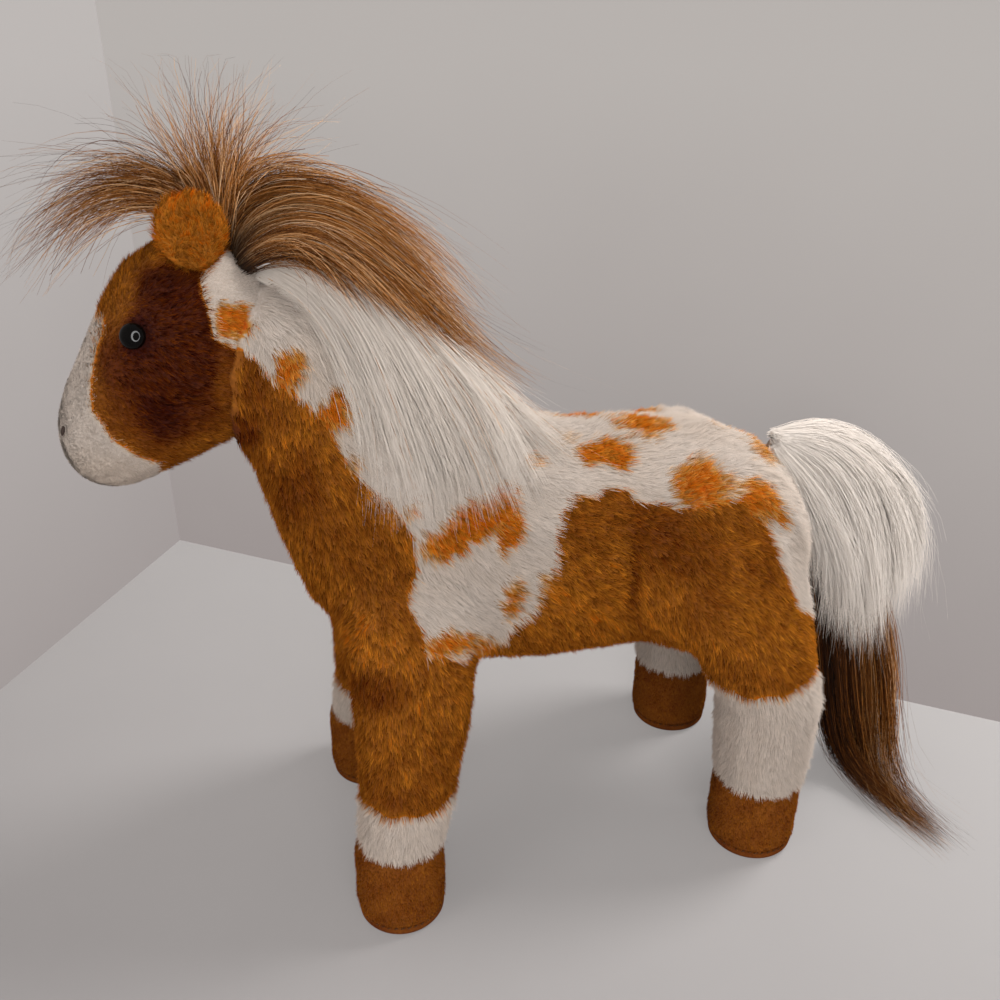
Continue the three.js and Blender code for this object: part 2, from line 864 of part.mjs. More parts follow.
function dockForm(grow) {
  const dock = new THREE.SphereGeometry(dockDiameter / 2 + grow, legSides, legSides / 2);
  dock.translate(dockCentre.x, dockCentre.y, dockCentre.z);
  return dock;
}

// Scene graph

const horse = new THREE.Group();

function addPiece(name, solid, colour, roughness = 0.95) {
  const material = new THREE.MeshStandardMaterial({ color: colour, roughness, metalness: 0 });
  const mesh = new THREE.Mesh(geometryFrom(solid), material);
  mesh.name = name;
  horse.add(mesh);
}

const body = bodyForm();
const head = headForm();
// Legs, and the room that each needs in the body
const bodyCutters = [];
for (const leg of legs) {
  const pieces = legPieces(leg);
  addPiece(`${leg.name}_leg_skin`, pieces.skin, colours.goldenPlush);
  addPiece(`${leg.name}_sock`, pieces.sock, colours.creamPlush);
  addPiece(`${leg.name}_hoof`, pieces.hoof, colours.hoofVelour);
  addPiece(`${leg.name}_sole`, pieces.sole, colours.soleVelour);
  addPiece(`${leg.name}_leg_stuffing`, pieces.stuffing, colours.stuffing);
  bodyCutters.push(...legRoom(leg));
}
bodyCutters.push(headRoom());
bodyCutters.push(solidFrom(dockForm(jointGap)));

// Body skin panels and stuffing
const bodySkin = cutBy(solidFrom(body).subtract(solidFrom(offset(body, -skinThickness))), bodyCutters);
const bodyCore = cutBy(solidFrom(offset(body, -skinThickness - gap)), bodyCutters);

// The edge of the cream panel on the side of the horse, from the poll down and back to the rump
const creamEdgeShares = [
  [-0.600, 1.400],
  [-0.575, 1.290],
  [-0.545, 1.215],
  [-0.480, 1.130],
  [-0.415, 1.060],
  [-0.365, 0.960],
  [-0.315, 0.870],
  [-0.325, 0.760],
  [-0.300, 0.690],
  [-0.215, 0.670],
  [-0.130, 0.730],
  [-0.105, 0.880],
  [-0.055, 0.935],
  [0.060, 0.945],
  [0.240, 0.900],
  [0.330, 0.700],
  [0.360, 0.560],
  [0.560, 0.560],
  [0.560, 1.100],
  [0.000, 1.400],
];
const creamEdge = creamEdgeShares.map((shares) => bodyPoint(...shares));
const creamPrism = sidePrism(creamEdge, -reach, reach);
const creamOutline = creamEdge.map((point) => new THREE.Vector2(point.y, point.z));

// The same outline moved outwards, which leaves a seam between the panels
function widened(points, distance) {
  const count = points.length;
  const turn = THREE.ShapeUtils.isClockWise(points) ? 1 : -1;
  return points.map((point, i) => {
    const before = points[(i + count - 1) % count];
    const after = points[(i + 1) % count];
    const into = new THREE.Vector2().subVectors(point, before).normalize();
    const out = new THREE.Vector2().subVectors(after, point).normalize();
    const mitre = new THREE.Vector2(-(into.y + out.y), into.x + out.x).normalize();
    const square = new THREE.Vector2(-into.y, into.x);
    return point.clone().addScaledVector(mitre, turn * distance / mitre.dot(square));
  });
}

function widenedPrism(points, distance) {
  const wider = widened(points, distance).map((point) => new THREE.Vector3(0, point.x, point.y));
  return sidePrism(wider, -reach, reach);
}

const creamRoom = widenedPrism(creamOutline, gap);
const gussetTop = gussetTopShare * backHeight;
const frontBack = bodyPoint(panelSplitShare, 0).y;
const gussetBox = boxSolid(
  new THREE.Vector3(-gussetWidth / 2, -reach, -reach),
  new THREE.Vector3(gussetWidth / 2, reach, gussetTop),
);
const gussetRoom = boxSolid(
  new THREE.Vector3(-gussetWidth / 2 - gap, -reach, -reach),
  new THREE.Vector3(gussetWidth / 2 + gap, reach, gussetTop + gap),
);
const fore = boxSolid(new THREE.Vector3(-reach, -reach, -reach), new THREE.Vector3(reach, frontBack, reach));
const aft = boxSolid(
  new THREE.Vector3(-reach, frontBack + gap, -reach),
  new THREE.Vector3(reach, reach, reach),
);
const creamSkin = bodySkin.intersect(creamPrism);
const brownSkin = bodySkin.subtract(creamRoom);
const sides = [
  { name: "left", half: slab(gap / 2, reach), side: 1 },
  { name: "right", half: slab(-reach, -gap / 2), side: -1 },
];
for (const { name, half } of sides) {
  const brownHalf = brownSkin.subtract(gussetRoom).intersect(half);
  addPiece(`${name}_cream_panel`, largestPiece(creamSkin.intersect(half)), colours.creamPlush);
  addPiece(`${name}_neck_panel`, largestPiece(brownHalf.intersect(fore)), colours.goldenPlush);
  addPiece(`${name}_flank_panel`, largestPiece(brownHalf.intersect(aft)), colours.goldenPlush);
}
addPiece("belly_gusset", largestPiece(brownSkin.intersect(gussetBox)), colours.goldenPlush);

const neckLine = new THREE.BoxGeometry(2 * reach, 2 * reach, reach);
neckLine.translate(0, 0, reach / 2);
neckLine.rotateX(neckTilt * degree);
const neckSeat = bodyPoint(...neckSeatShares);
const above = solidFrom(neckLine.clone().translate(0, neckSeat.y, neckSeat.z));
const aboveRoom = solidFrom(neckLine.clone().translate(0, neckSeat.y, neckSeat.z - gap));
addPiece("body_stuffing", largestPiece(bodyCore.subtract(aboveRoom)), colours.stuffing);
addPiece("neck_stuffing", largestPiece(bodyCore.intersect(above)), colours.stuffing);

// Head
const headCutters = [];
const eyeSeats = sides.map(({ side }) => headSurface(head, side));
for (const { side } of sides) {
  headCutters.push(...sweptSolids(earEllipsoid(side, jointGap, 0, 1), earHinge(side)));
}
for (const seat of eyeSeats) {
  headCutters.push(solidFrom(eyePiece(seat, gap)));
}
headCutters.push(...eyeSeats.map((seat) => solidFrom(washerPiece(seat, gap))));
const headSkin = cutBy(solidFrom(head).subtract(solidFrom(offset(head, -skinThickness))), headCutters);
const headCore = cutBy(solidFrom(offset(head, -skinThickness - gap)), headCutters);
addPiece("head_stuffing", largestPiece(headCore), colours.stuffing);

const muzzleEdge = muzzleEdgeShares.map((shares) => headPoint(...shares));
const muzzleOutline = muzzleEdge.map((point) => new THREE.Vector2(point.y, point.z));
const muzzle = headSkin.intersect(sidePrism(muzzleEdge, -reach, reach));
addPiece("muzzle", largestPiece(muzzle), colours.creamPlush, 0.9);
const brownHead = headSkin.subtract(widenedPrism(muzzleOutline, gap));
const browLine = headPoint(0, browLineShare).z;
const browBox = boxSolid(
  new THREE.Vector3(-browGussetWidth / 2, -reach, browLine),
  new THREE.Vector3(browGussetWidth / 2, reach, reach),
);
const browRoom = boxSolid(
  new THREE.Vector3(-browGussetWidth / 2 - gap, -reach, browLine - gap),
  new THREE.Vector3(browGussetWidth / 2 + gap, reach, reach),
);
addPiece("forehead_gusset", largestPiece(brownHead.intersect(browBox)), colours.goldenPlush);
for (const { name, half, side } of sides) {
  const cheek = brownHead.subtract(browRoom).intersect(half);
  addPiece(`${name}_head_panel`, largestPiece(cheek), colours.darkPlush);
  const seat = eyeSeats[side > 0 ? 0 : 1];
  addPiece(`${name}_eye`, solidFrom(eyePiece(seat, 0)), colours.eyeBlack, 0.08);
  addPiece(`${name}_eye_washer`, solidFrom(washerPiece(seat, 0)), colours.washerPlastic, 0.5);
  const ear = earPieces(side);
  addPiece(`${name}_ear`, ear.outer, colours.earPlush);
  addPiece(`${name}_ear_lining`, ear.lining, colours.earPlush);
}

// Hair
const earRoom = sides.flatMap(({ side }) => sweptSolids(earEllipsoid(side, jointGap, 0, 1), earHinge(side)));
const forelock = bundle(forelockRoot(), forelockLength, forelockShares, forelockRadiusShares, 0);
const forelockCut = cutBy(forelock, [solidFrom(offset(head, gap)), ...earRoom]);
addPiece("forelock", largestPiece(forelockCut), colours.brownHair);

// The tuft and the mane stay on the neck: they clear the head, the forelock and the ears as it nods
const bodySolid = solidFrom(offset(body, gap));
const headSweep = sweptSolids(offset(head, jointGap), nodHinge);
const forelockSweep = sweptSolids(geometryFrom(forelockCut), nodHinge);
const tuftWhole = bundle(tuftRoot(), tuftLength, tuftShares, tuftRadiusShares, 0);
const tuftRoom = bundle(tuftRoot(), tuftLength, tuftShares, tuftRadiusShares, gap);
const tuft = largestPiece(cutBy(tuftWhole, [bodySolid, ...headSweep, ...forelockSweep]));
addPiece("mane_tuft", tuft, colours.brownHair);
const mane = cutBy(maneForm(), [bodySolid, tuftRoom, ...headSweep]);
addPiece("white_mane", largestPiece(mane), colours.whiteHair);

const tailWhite = tailLocks(tailWhiteShares, 0);
const tailBrown = tailLocks(tailBrownShares, 0);
const dockRoom = solidFrom(dockForm(jointGap));
const tailHinges = [
  { pivot: dockCentre, axis: new THREE.Vector3(1, 0, 0), low: -tailLift, high: 0 },
  { pivot: dockCentre, axis: new THREE.Vector3(0, 0, 1), low: -tailSway, high: tailSway },
];
const rumpRoom = tailHinges.flatMap((hinge) => sweptSolids(offset(body, jointGap), hinge));
const whiteRoom = tailLocks(tailWhiteShares, gap);
const whiteCut = cutBy(tailWhite, [dockRoom, ...rumpRoom]);
const brownCut = cutBy(tailBrown, [dockRoom, whiteRoom, ...rumpRoom]);
addPiece("tail_white", largestPiece(whiteCut), colours.whiteHair);
addPiece("tail_brown", largestPiece(brownCut), colours.brownHair);
addPiece("tail_dock", solidFrom(dockForm(0)), colours.whiteHair);

// Where the joints are, in the frame of the part
const across = new THREE.Vector3(1, 0, 0);
const middle = new THREE.Box3().setFromObject(horse);
const shift = new THREE.Vector3(-(middle.min.x + middle.max.x) / 2, -(middle.min.y + middle.max.y) / 2, 0);
horse.position.copy(shift);
horse.userData.hinges = {
  head_nod: nodHinge,
  left_ear_flex: earHinge(1),
  right_ear_flex: earHinge(-1),
  tail_lift: { pivot: dockCentre, axis: across, low: 0, high: tailLift },
  tail_sway: { pivot: dockCentre, axis: new THREE.Vector3(0, 0, 1), low: -tailSway, high: tailSway },
};
for (const leg of legs) {
  horse.userData.hinges[`${leg.name}_leg_swing`] = legHinge(leg);
}

export default horse;
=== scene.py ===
"""Looks of the plush horse: skins, short fur, long hair, eyes, hooves, floor, lamps and camera."""
from math import ceil, cos, pi, radians, sin
import bpy
import numpy as np
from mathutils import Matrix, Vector
from mathutils.bvhtree import BVHTree


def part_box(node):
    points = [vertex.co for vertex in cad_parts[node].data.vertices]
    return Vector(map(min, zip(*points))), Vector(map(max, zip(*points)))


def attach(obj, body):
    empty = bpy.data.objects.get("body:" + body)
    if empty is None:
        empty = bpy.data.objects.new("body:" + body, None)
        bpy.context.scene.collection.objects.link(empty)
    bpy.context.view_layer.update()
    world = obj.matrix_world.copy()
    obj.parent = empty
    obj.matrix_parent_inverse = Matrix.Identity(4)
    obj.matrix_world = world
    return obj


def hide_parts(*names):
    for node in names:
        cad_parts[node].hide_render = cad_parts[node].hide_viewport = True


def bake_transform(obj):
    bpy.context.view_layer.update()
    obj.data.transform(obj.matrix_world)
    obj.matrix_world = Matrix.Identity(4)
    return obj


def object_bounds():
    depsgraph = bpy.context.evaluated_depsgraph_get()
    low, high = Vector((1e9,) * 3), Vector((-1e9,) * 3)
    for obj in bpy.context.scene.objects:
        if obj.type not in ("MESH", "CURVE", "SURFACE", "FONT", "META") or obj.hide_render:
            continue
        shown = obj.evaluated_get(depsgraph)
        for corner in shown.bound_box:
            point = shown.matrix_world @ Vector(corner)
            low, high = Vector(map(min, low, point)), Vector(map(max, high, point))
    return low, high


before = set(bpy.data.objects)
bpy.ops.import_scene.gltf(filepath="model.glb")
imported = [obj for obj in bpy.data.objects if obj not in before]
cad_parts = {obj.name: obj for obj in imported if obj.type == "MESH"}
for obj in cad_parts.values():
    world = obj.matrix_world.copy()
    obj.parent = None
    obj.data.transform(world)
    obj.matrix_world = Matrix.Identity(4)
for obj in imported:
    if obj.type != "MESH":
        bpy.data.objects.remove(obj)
CAD_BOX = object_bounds()

# Lengths are in metres. Places in the picture are in pixels of a frame 1000 pixels wide and high.
MM = 0.001
MIDDLE = -6.88 * MM
FRAME = 1000.0
FOCAL = 1000.0
EYE_POINT = np.array([425.12, -131.49, 413.0]) * MM
AZIMUTH = radians(75.0)
ELEVATION = radians(25.8)
LEGS = ("front_left", "front_right", "hind_left", "hind_right")
SIDES = ("left", "right")

# Tones run from near black through brown, orange and cream to white.
DARK_RED, DARK_BROWN, BROWN, GOLDEN_BROWN, LIGHT_BROWN = 0.14, 0.23, 0.31, 0.42, 0.47
GOLD, ORANGE, PALE_GOLD, WHITE = 0.51, 0.57, 0.66, 0.95
TONE_COLOURS = (
    (0.00, (0.004, 0.002, 0.001)),
    (0.14, (0.05, 0.0045, 0.0006)),
    (0.23, (0.145, 0.029, 0.003)),
    (0.31, (0.225, 0.059, 0.0058)),
    (0.42, (0.33, 0.1, 0.0098)),
    (0.47, (0.42, 0.135, 0.0138)),
    (0.51, (0.64, 0.22, 0.018)),
    (0.57, (0.64, 0.108, 0.0006)),
    (0.66, (0.66, 0.29, 0.045)),
    (0.78, (0.68, 0.52, 0.39)),
    (0.95, (0.69, 0.585, 0.505)),
    (1.0, (0.75, 0.66, 0.59)),
)
HAIR_COLOURS = (
    (0.00, (0.006, 0.003, 0.002)),
    (0.25, (0.038, 0.011, 0.002)),
    (0.45, (0.15, 0.046, 0.008)),
    (0.6, (0.35, 0.135, 0.03)),
    (0.75, (0.6, 0.34, 0.16)),
    (0.88, (0.48, 0.4, 0.33)),
    (0.94, (0.61, 0.535, 0.47)),
    (1.0, (0.83, 0.755, 0.69)),
)
# Painted shade along a strand, from its root, at 0, to its tip, at 1: dark roots, lighter tips.
BROWN_ROOT_SHADE = ((0, 0.05), (0.15, 0.15), (0.4, 0.78), (1, 1.27))
TAIL_ROOT_SHADE = ((0, 0.45), (0.4, 0.8), (1, 1.27))
WHITE_ROOT_SHADE = ((0, 0.95), (0.3, 1.0), (1, 1.02))
PILE_ROOT_SHADE = ((0, 0.18), (0.35, 0.62), (0.7, 1.02), (1, 1.6))


# Camera and picture

def view_axes():
    """The camera's way, and the picture's right and up."""
    level = cos(ELEVATION)
    ahead = np.array([-sin(AZIMUTH) * level, cos(AZIMUTH) * level, -sin(ELEVATION)])
    right = np.cross(ahead, [0, 0, 1])
    right /= np.linalg.norm(right)
    return ahead, right, np.cross(right, ahead)


AHEAD, RIGHT, UP = view_axes()


def seen(px, py, x=None, z=None):
    """The point under a pixel on the plane at x, or at height z."""
    ray = AHEAD + RIGHT * ((px - FRAME / 2) / FOCAL) + UP * ((FRAME / 2 - py) / FOCAL)
    far = (x - EYE_POINT[0]) / ray[0] if z is None else (z - EYE_POINT[2]) / ray[2]
    return EYE_POINT + ray * far


def pixels(points):
    """Where points fall in the picture."""
    away = points - EYE_POINT
    deep = away @ AHEAD
    across = FRAME / 2 + FOCAL * (away @ RIGHT) / deep
    down = FRAME / 2 - FOCAL * (away @ UP) / deep
    return np.stack([across, down], 1)


def placed(name, data):
    thing = bpy.data.objects.new(name, data)
    bpy.context.scene.collection.objects.link(thing)
    return thing


def aimed(thing, place, way):
    thing.location = Vector(place)
    thing.rotation_euler = Vector(way).to_track_quat("-Z", "Y").to_euler()


def make_camera():
    data = bpy.data.cameras.new("camera")
    data.sensor_width = 36.0
    data.lens = data.sensor_width * FOCAL / FRAME
    data.clip_start = 0.02
    camera = placed("camera", data)
    aimed(camera, EYE_POINT, AHEAD)
    bpy.context.scene.camera = camera


# Numbers on points

def waves(points, size, seed):
    """Smooth noise from -1 to 1, of about the given size."""
    rng = np.random.default_rng(seed)
    total = np.zeros(len(points))
    for _ in range(7):
        way = rng.normal(size=3)
        way *= rng.uniform(0.6, 1.6) * pi / size / np.linalg.norm(way)
        total += np.sin(points @ way + rng.uniform(0, 2 * pi))
    return total / 3.2


def ramp(value, low, high):
    """Smooth step from 0 at low to 1 at high."""
    t = np.clip((value - low) / (high - low), 0, 1)
    return t * t * (3 - 2 * t)


def mix(a, b, t):
    return a * (1 - t) + b * t


def unit(v):
    return v / np.maximum(np.linalg.norm(v, axis=-1, keepdims=True), 1e-12)


def level(way, normal):
    """A way without its part along a normal."""
    return way - (way * normal).sum(1, keepdims=True) * normal


def always(value):
    return lambda *_: value


def by_tone(start, low, more):
    """A value that changes where the tone gets pale."""
    return lambda tone, *_: low + more * ramp(tone, start, 0.9)


def circle(count):
    """The cosine and sine of each step round a circle."""
    angles = (2 * pi * k / count for k in range(count))
    return [(cos(angle), sin(angle)) for angle in angles]


def outside_by(spots, outline):
    """Distance in pixels to a closed outline, negative inside."""
    a = np.array(outline, float)
    b = np.roll(a, -1, axis=0)
    best = np.full(len(spots), 1e9)
    inside = np.zeros(len(spots), bool)
    for p, q in zip(a, b):
        along = q - p
        t = np.clip(((spots - p) @ along) / (along @ along), 0, 1)
        best = np.minimum(best, np.linalg.norm(spots - p - t[:, None] * along, axis=1))
        if p[1] != q[1]:
            crosses = (p[1] > spots[:, 1]) != (q[1] > spots[:, 1])
            at = p[0] + (spots[:, 1] - p[1]) / (q[1] - p[1]) * along[0]
            inside ^= crosses & (spots[:, 0] < at)
    return np.where(inside, -best, best)


def summed(index, rows, count):
    """The rows summed by their index."""
    return np.stack([np.bincount(index, column, count) for column in rows.T], 1)


def bunches(points, size, seed):
    """Each point's bunch: its middle, and its random numbers."""
    rng = np.random.default_rng(seed)
    bent = points + np.stack([waves(points, size * 2.2, seed + k) for k in range(3)], 1) * size * 0.6
    cell = np.floor(bent / size).astype(np.int64)
    key = (cell[:, 0] * 4096 + cell[:, 1]) * 4096 + cell[:, 2]
    group = np.unique(key, return_inverse=True)[1].ravel()
    many = np.bincount(group)
    middle = summed(group, points, len(many)) / many[:, None]
    return middle[group], rng.normal(size=(len(many), 5))[group]


def oval(spots, px, py, long, short, turn):
    """Distance from an oval's middle, 1 at its edge."""
    angle = radians(turn)
    off = spots - np.array([px, py])
    u = off[:, 0] * cos(angle) + off[:, 1] * sin(angle)
    v = -off[:, 0] * sin(angle) + off[:, 1] * cos(angle)
    return np.hypot(u / long, v / short)


# Forms made from the solids

def vertices(mesh):
    """The places of a mesh's vertices."""
    co = np.empty(len(mesh.vertices) * 3)
    mesh.vertices.foreach_get("co", co)
    return co.reshape(-1, 3)


def box(node):
    """A solid's box: its low and high corners and its middle."""
    low, high = (np.array(corner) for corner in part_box(node))
    return low, high, (low + high) / 2


def merged(nodes, cuts=()):
    """The vertices and faces of some nodes. In nodes with a cut's word, what lies below its limit is
    drawn together at the limit."""
    points, faces, start = [], [], 0
    for node in nodes:
        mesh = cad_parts[node].data
        co = vertices(mesh)
        for word, axis, limit in cuts:
            past = (co[:, axis] < limit) & (word in node)
            if past.any():
                middle = co[past & (co[:, axis] > limit - 30 * MM)].mean(0)
                co[past] = mix(middle, co[past], 0.55)
                co[past, axis] = limit
        points.append(co)
        faces += [[start + i for i in face.vertices] for face in mesh.polygons]
        start += len(co)
    return np.concatenate(points), faces


def new_object(name, points, faces):
    mesh = bpy.data.meshes.new(name)
    mesh.from_pydata(np.asarray(points).tolist(), [], [list(map(int, face)) for face in faces])
    mesh.shade_smooth()
    return placed(name, mesh)


def applied(thing):
    """Puts the object's modifiers into its mesh."""
    graph = bpy.context.evaluated_depsgraph_get()
    mesh = bpy.data.meshes.new_from_object(thing.evaluated_get(graph))
    thing.modifiers.clear()
    thing.data = mesh


class Form:
    """A surface of quads with its normals."""

    def __init__(self, points, faces):
        self.points = points
        self.faces = faces
        pairs = np.stack([faces, np.roll(faces, -1, 1)], 2).reshape(-1, 2)
        self.edges = np.unique(np.sort(pairs, axis=1), axis=0)
        self.links = np.bincount(self.edges.ravel(), minlength=len(points))

    def spread(self, values):
        """The mean of each vertex's neighbours."""
        a, b = self.edges.T
        rows = values.reshape(len(values), -1)
        total = summed(a, rows[b], len(rows)) + summed(b, rows[a], len(rows))
        return (total / np.maximum(self.links, 1)[:, None]).reshape(values.shape)

    def smooth(self, passes):
        """Evens the surface and keeps its volume."""
        for _ in range(passes):
            for share in (0.55, -0.57):
                self.points = mix(self.points, self.spread(self.points), share)

    def normals(self):
        p = self.points[self.faces]
        across = np.cross(p[:, 2] - p[:, 0], p[:, 3] - p[:, 1])
        return unit(sum(summed(corner, across, len(self.points)) for corner in self.faces.T))

    def part(self, keep):
        """The faces whose vertices are all kept."""
        faces = self.faces[keep[self.faces].all(1)]
        used = np.unique(faces)
        number = np.full(len(self.points), -1)
        number[used] = np.arange(len(used))
        return Form(self.points[used], number[faces])

    def largest(self):
        """The largest connected part."""
        mark = np.arange(len(self.points))
        a, b = self.edges.T
        while True:
            low = np.minimum(mark[a], mark[b])
            after = mark.copy()
            np.minimum.at(after, a, low)
            np.minimum.at(after, b, low)
            after = after[after]
            if (after == mark).all():
                break
            mark = after
        names, counts = np.unique(mark, return_counts=True)
        return self.part(mark == names[counts.argmax()])

    def tree(self):
        return BVHTree.FromPolygons(self.points.tolist(), self.faces.tolist())


def grown(nodes, voxel, passes, cuts=()):
    """One smooth closed form round the named nodes."""
    thing = new_object("form", *merged(nodes, cuts))
    remesh = thing.modifiers.new("form", "REMESH")
    remesh.mode = "VOXEL"
    remesh.voxel_size = voxel
    applied(thing)
    mesh = thing.data
    points = vertices(mesh)
    quads = np.empty(len(mesh.loops), np.int64)
    mesh.loops.foreach_get("vertex_index", quads)
    bpy.data.objects.remove(thing)
    form = Form(points, quads.reshape(-1, 4)).largest()
    form.smooth(passes)
    return form


def far_from(points, nodes):
    """Each point's distance to the nearest of some nodes."""
    tree = BVHTree.FromPolygons(*[list(map(list, part)) for part in merged(nodes)])
    return np.array([tree.find_nearest(point)[3] for point in points])


def height_over(tree, point):
    """A point's height over a surface, the way out there, and the distance."""
    spot, normal, _, away = tree.find_nearest(point)
    return (Vector(point) - spot).dot(normal), np.array(normal), away


def kept_inside(form, tree, depth):
    """Moves a form's points down to at least a depth under a surface."""
    for i, point in enumerate(form.points):
        height, out, _ = height_over(tree, point)
        over = height + depth[i]
        if over > 0:
            form.points[i] -= out * over


def pushed_out(points, tree, clear):
    """Points moved out to at least a clearance over a surface."""
    moved = points.copy()
    for i, point in enumerate(points):
        height, out, away = height_over(tree, point)
        if height < clear and away < 30 * MM:
            moved[i] += out * (clear - height)
    return moved


# Materials

def feed(tree, made, inputs):
    """Feeds a node's inputs, each from a socket or with a value."""
    for place, value in inputs.items():
        if isinstance(value, bpy.types.NodeSocket):
            tree.links.new(value, made.inputs[place])
        else:
            made.inputs[place].default_value = value


def node(tree, kind, inputs, **settings):
    """The outputs of a new node with its settings and inputs."""
    made = tree.nodes.new(kind)
    for name, value in settings.items():
        setattr(made, name, value)
    feed(tree, made, inputs)
    return made.outputs


def math_node(tree, operation, *values):
    return node(tree, "ShaderNodeMath", dict(enumerate(values)), operation=operation)[0]


def shader(name, roughness, shine=0.15):
    material = bpy.data.materials.new(name)
    material.use_nodes = True
    tree = material.node_tree
    principled = tree.nodes["Principled BSDF"]
    feed(tree, principled, {"Roughness": roughness, "Specular IOR Level": shine})
    return material, tree, principled


def colour_ramp(tree, factor, stops):
    """Colours along a factor."""
    made = tree.nodes.new("ShaderNodeValToRGB")
    elements = made.color_ramp.elements
    for element, (place, colour) in zip(elements, (stops[0], stops[-1])):
        element.position, element.color = place, (*colour, 1)
    for place, colour in stops[1:-1]:
        elements.new(place).color = (*colour, 1)
    feed(tree, made, {0: factor})
    return made.outputs[0]


def grey_ramp(tree, factor, stops):
    return colour_ramp(tree, factor, [(place, (grey,) * 3) for place, grey in stops])


def scaled(tree, colour, factor):
    """A colour times a factor socket."""
    inputs = {0: 1.0, 6: colour, 7: factor}
    return node(tree, "ShaderNodeMix", inputs, data_type="RGBA", blend_type="MULTIPLY")[2]


def strand_look(name, stops, shades, roughness, shine):
    """Strands coloured by their tone, with painted shade by the height on them, both from their map."""
    material, tree, principled = shader(name, roughness, shine)
    place = node(tree, "ShaderNodeUVMap", {}, uv_map="OFBake")[0]
    tone, height, _ = node(tree, "ShaderNodeSeparateXYZ", {0: place})
    colour = scaled(tree, colour_ramp(tree, tone, stops), grey_ramp(tree, height, shades))
    feed(tree, principled, {"Base Color": colour})
    return material


def noise_node(tree, place, scale, detail=3.0):
    inputs = {"Vector": place, "Scale": scale, "Detail": detail}
    return node(tree, "ShaderNodeTexNoise", inputs)[0]


def bumped(tree, principled, height, strength, distance):
    inputs = {"Height": height, "Strength": strength, "Distance": distance}
    feed(tree, principled, {"Normal": node(tree, "ShaderNodeBump", inputs)[0]})


def skin_look(name, deep):
    """The ground under the pile: its tone, mottled, and darkened as painted shade under the pile."""
    material, tree, principled = shader(name, 0.95, 0.08)
    tone = node(tree, "ShaderNodeAttribute", {}, attribute_name="tone")["Fac"]
    rest = node(tree, "ShaderNodeAttribute", {}, attribute_name="rest")["Vector"]
    mottle = noise_node(tree, rest, 700.0, 4.0)
    mottled_tone = math_node(tree, "MULTIPLY_ADD", mottle, 0.1, math_node(tree, "SUBTRACT", tone, 0.05))
    tones = colour_ramp(tree, mottled_tone, TONE_COLOURS)
    # Painted shade: the colour is darkened to between 0.55 and 0.69 of the tone's colour.
    shade = grey_ramp(tree, mottle, ((0.3, deep), (0.7, deep * 1.25)))
    feed(tree, principled, {"Base Color": scaled(tree, tones, shade)})
    bumped(tree, principled, mottle, 0.6, 0.6 * MM)
    return material


def plain_look(name, dark, light, scale, roughness, bump, shine=0.15):
    """A material mottled between two colours."""
    material, tree, principled = shader(name, roughness, shine)
    place = node(tree, "ShaderNodeTexCoord", {})["Object"]
    noise = noise_node(tree, place, scale)
    feed(tree, principled, {"Base Color": colour_ramp(tree, noise, ((0.35, dark), (0.65, light)))})
    if bump:
        bumped(tree, principled, noise, 0.5, bump)
    return material


LOOKS = {name: make(name, *values) for name, make, *values in (
    ("pile", strand_look, TONE_COLOURS, PILE_ROOT_SHADE, 0.95, 0.01),
    ("brown_hair", strand_look, HAIR_COLOURS, BROWN_ROOT_SHADE, 0.6, 0.05),
    ("tail_hair", strand_look, HAIR_COLOURS, TAIL_ROOT_SHADE, 0.6, 0.05),
    ("white_hair", strand_look, HAIR_COLOURS, WHITE_ROOT_SHADE, 0.8, 0.04),
    # The skin's 0.55 is its painted shade, for the shadow under the pile.
    ("skin", skin_look, 0.55),
    ("eye", plain_look, (0.001, 0.0008, 0.0008), (0.002, 0.0016, 0.0014), 300.0, 0.05, 0, 0.11),
    ("washer", plain_look, (0.5, 0.5, 0.48), (0.58, 0.58, 0.56), 200.0, 0.4, 0.05 * MM, 0.5),
    ("thread", plain_look, (0.02, 0.012, 0.01), (0.05, 0.03, 0.022), 2500.0, 0.8, 0.1 * MM),
    ("seam", plain_look, (0.04, 0.016, 0.005), (0.08, 0.032, 0.009), 1500.0, 0.8, 0.2 * MM),
)}


# Where the colours lie, in the picture, on the side that it shows. The other side mirrors it.

COAT_EDGE = (
    (198, 281), (205, 312), (214, 338), (238, 352), (266, 368), (307, 403), (358, 476), (403, 511),
    (419, 534), (409, 610), (425, 652), (460, 661), (499, 645), (540, 597), (553, 562), (559, 508),
    (571, 496), (599, 488), (629, 486), (632, 501), (675, 508), (718, 504), (735, 501), (765, 523),
    (781, 566), (798, 606),
    (860, 640), (900, 400), (860, 150), (224, 100), (224, 252), (215, 262),
)
# Each spot: across, down, half length, half width, turn in degrees, depth of the colour.
COAT_SPOTS = (
    (234, 322, 19, 16, 40, 1.0), (290, 368, 19, 13, 70, 0.9), (333, 409, 22, 15, -60, 0.9),
    (409, 427, 14, 7, -70, 0.35), (350, 457, 9, 7, 0, 0.7), (414, 505, 11, 8, -60, 0.7),
    (455, 532, 36, 17, -42, 1.0), (492, 506, 28, 16, -50, 1.0), (508, 528, 26, 10, -75, 1.0),
    (526, 460, 12, 7, 0, 0.7), (507, 598, 19, 9, -75, 0.8), (542, 586, 15, 8, -80, 0.7),
    (451, 641, 26, 13, 5, 0.9), (488, 649, 13, 9, -30, 0.8), (567, 440, 7, 5, 0, 0.5),
    (604, 453, 27, 13, -5, 1.0), (637, 424, 28, 12, 10, 0.9), (715, 428, 9, 4, 10, 0.6),
    (758, 448, 20, 9, 40, 0.7), (699, 485, 28, 23, 10, 0.9), (755, 500, 21, 16, 40, 0.9),
    (781, 514, 9, 7, 30, 0.8),
)
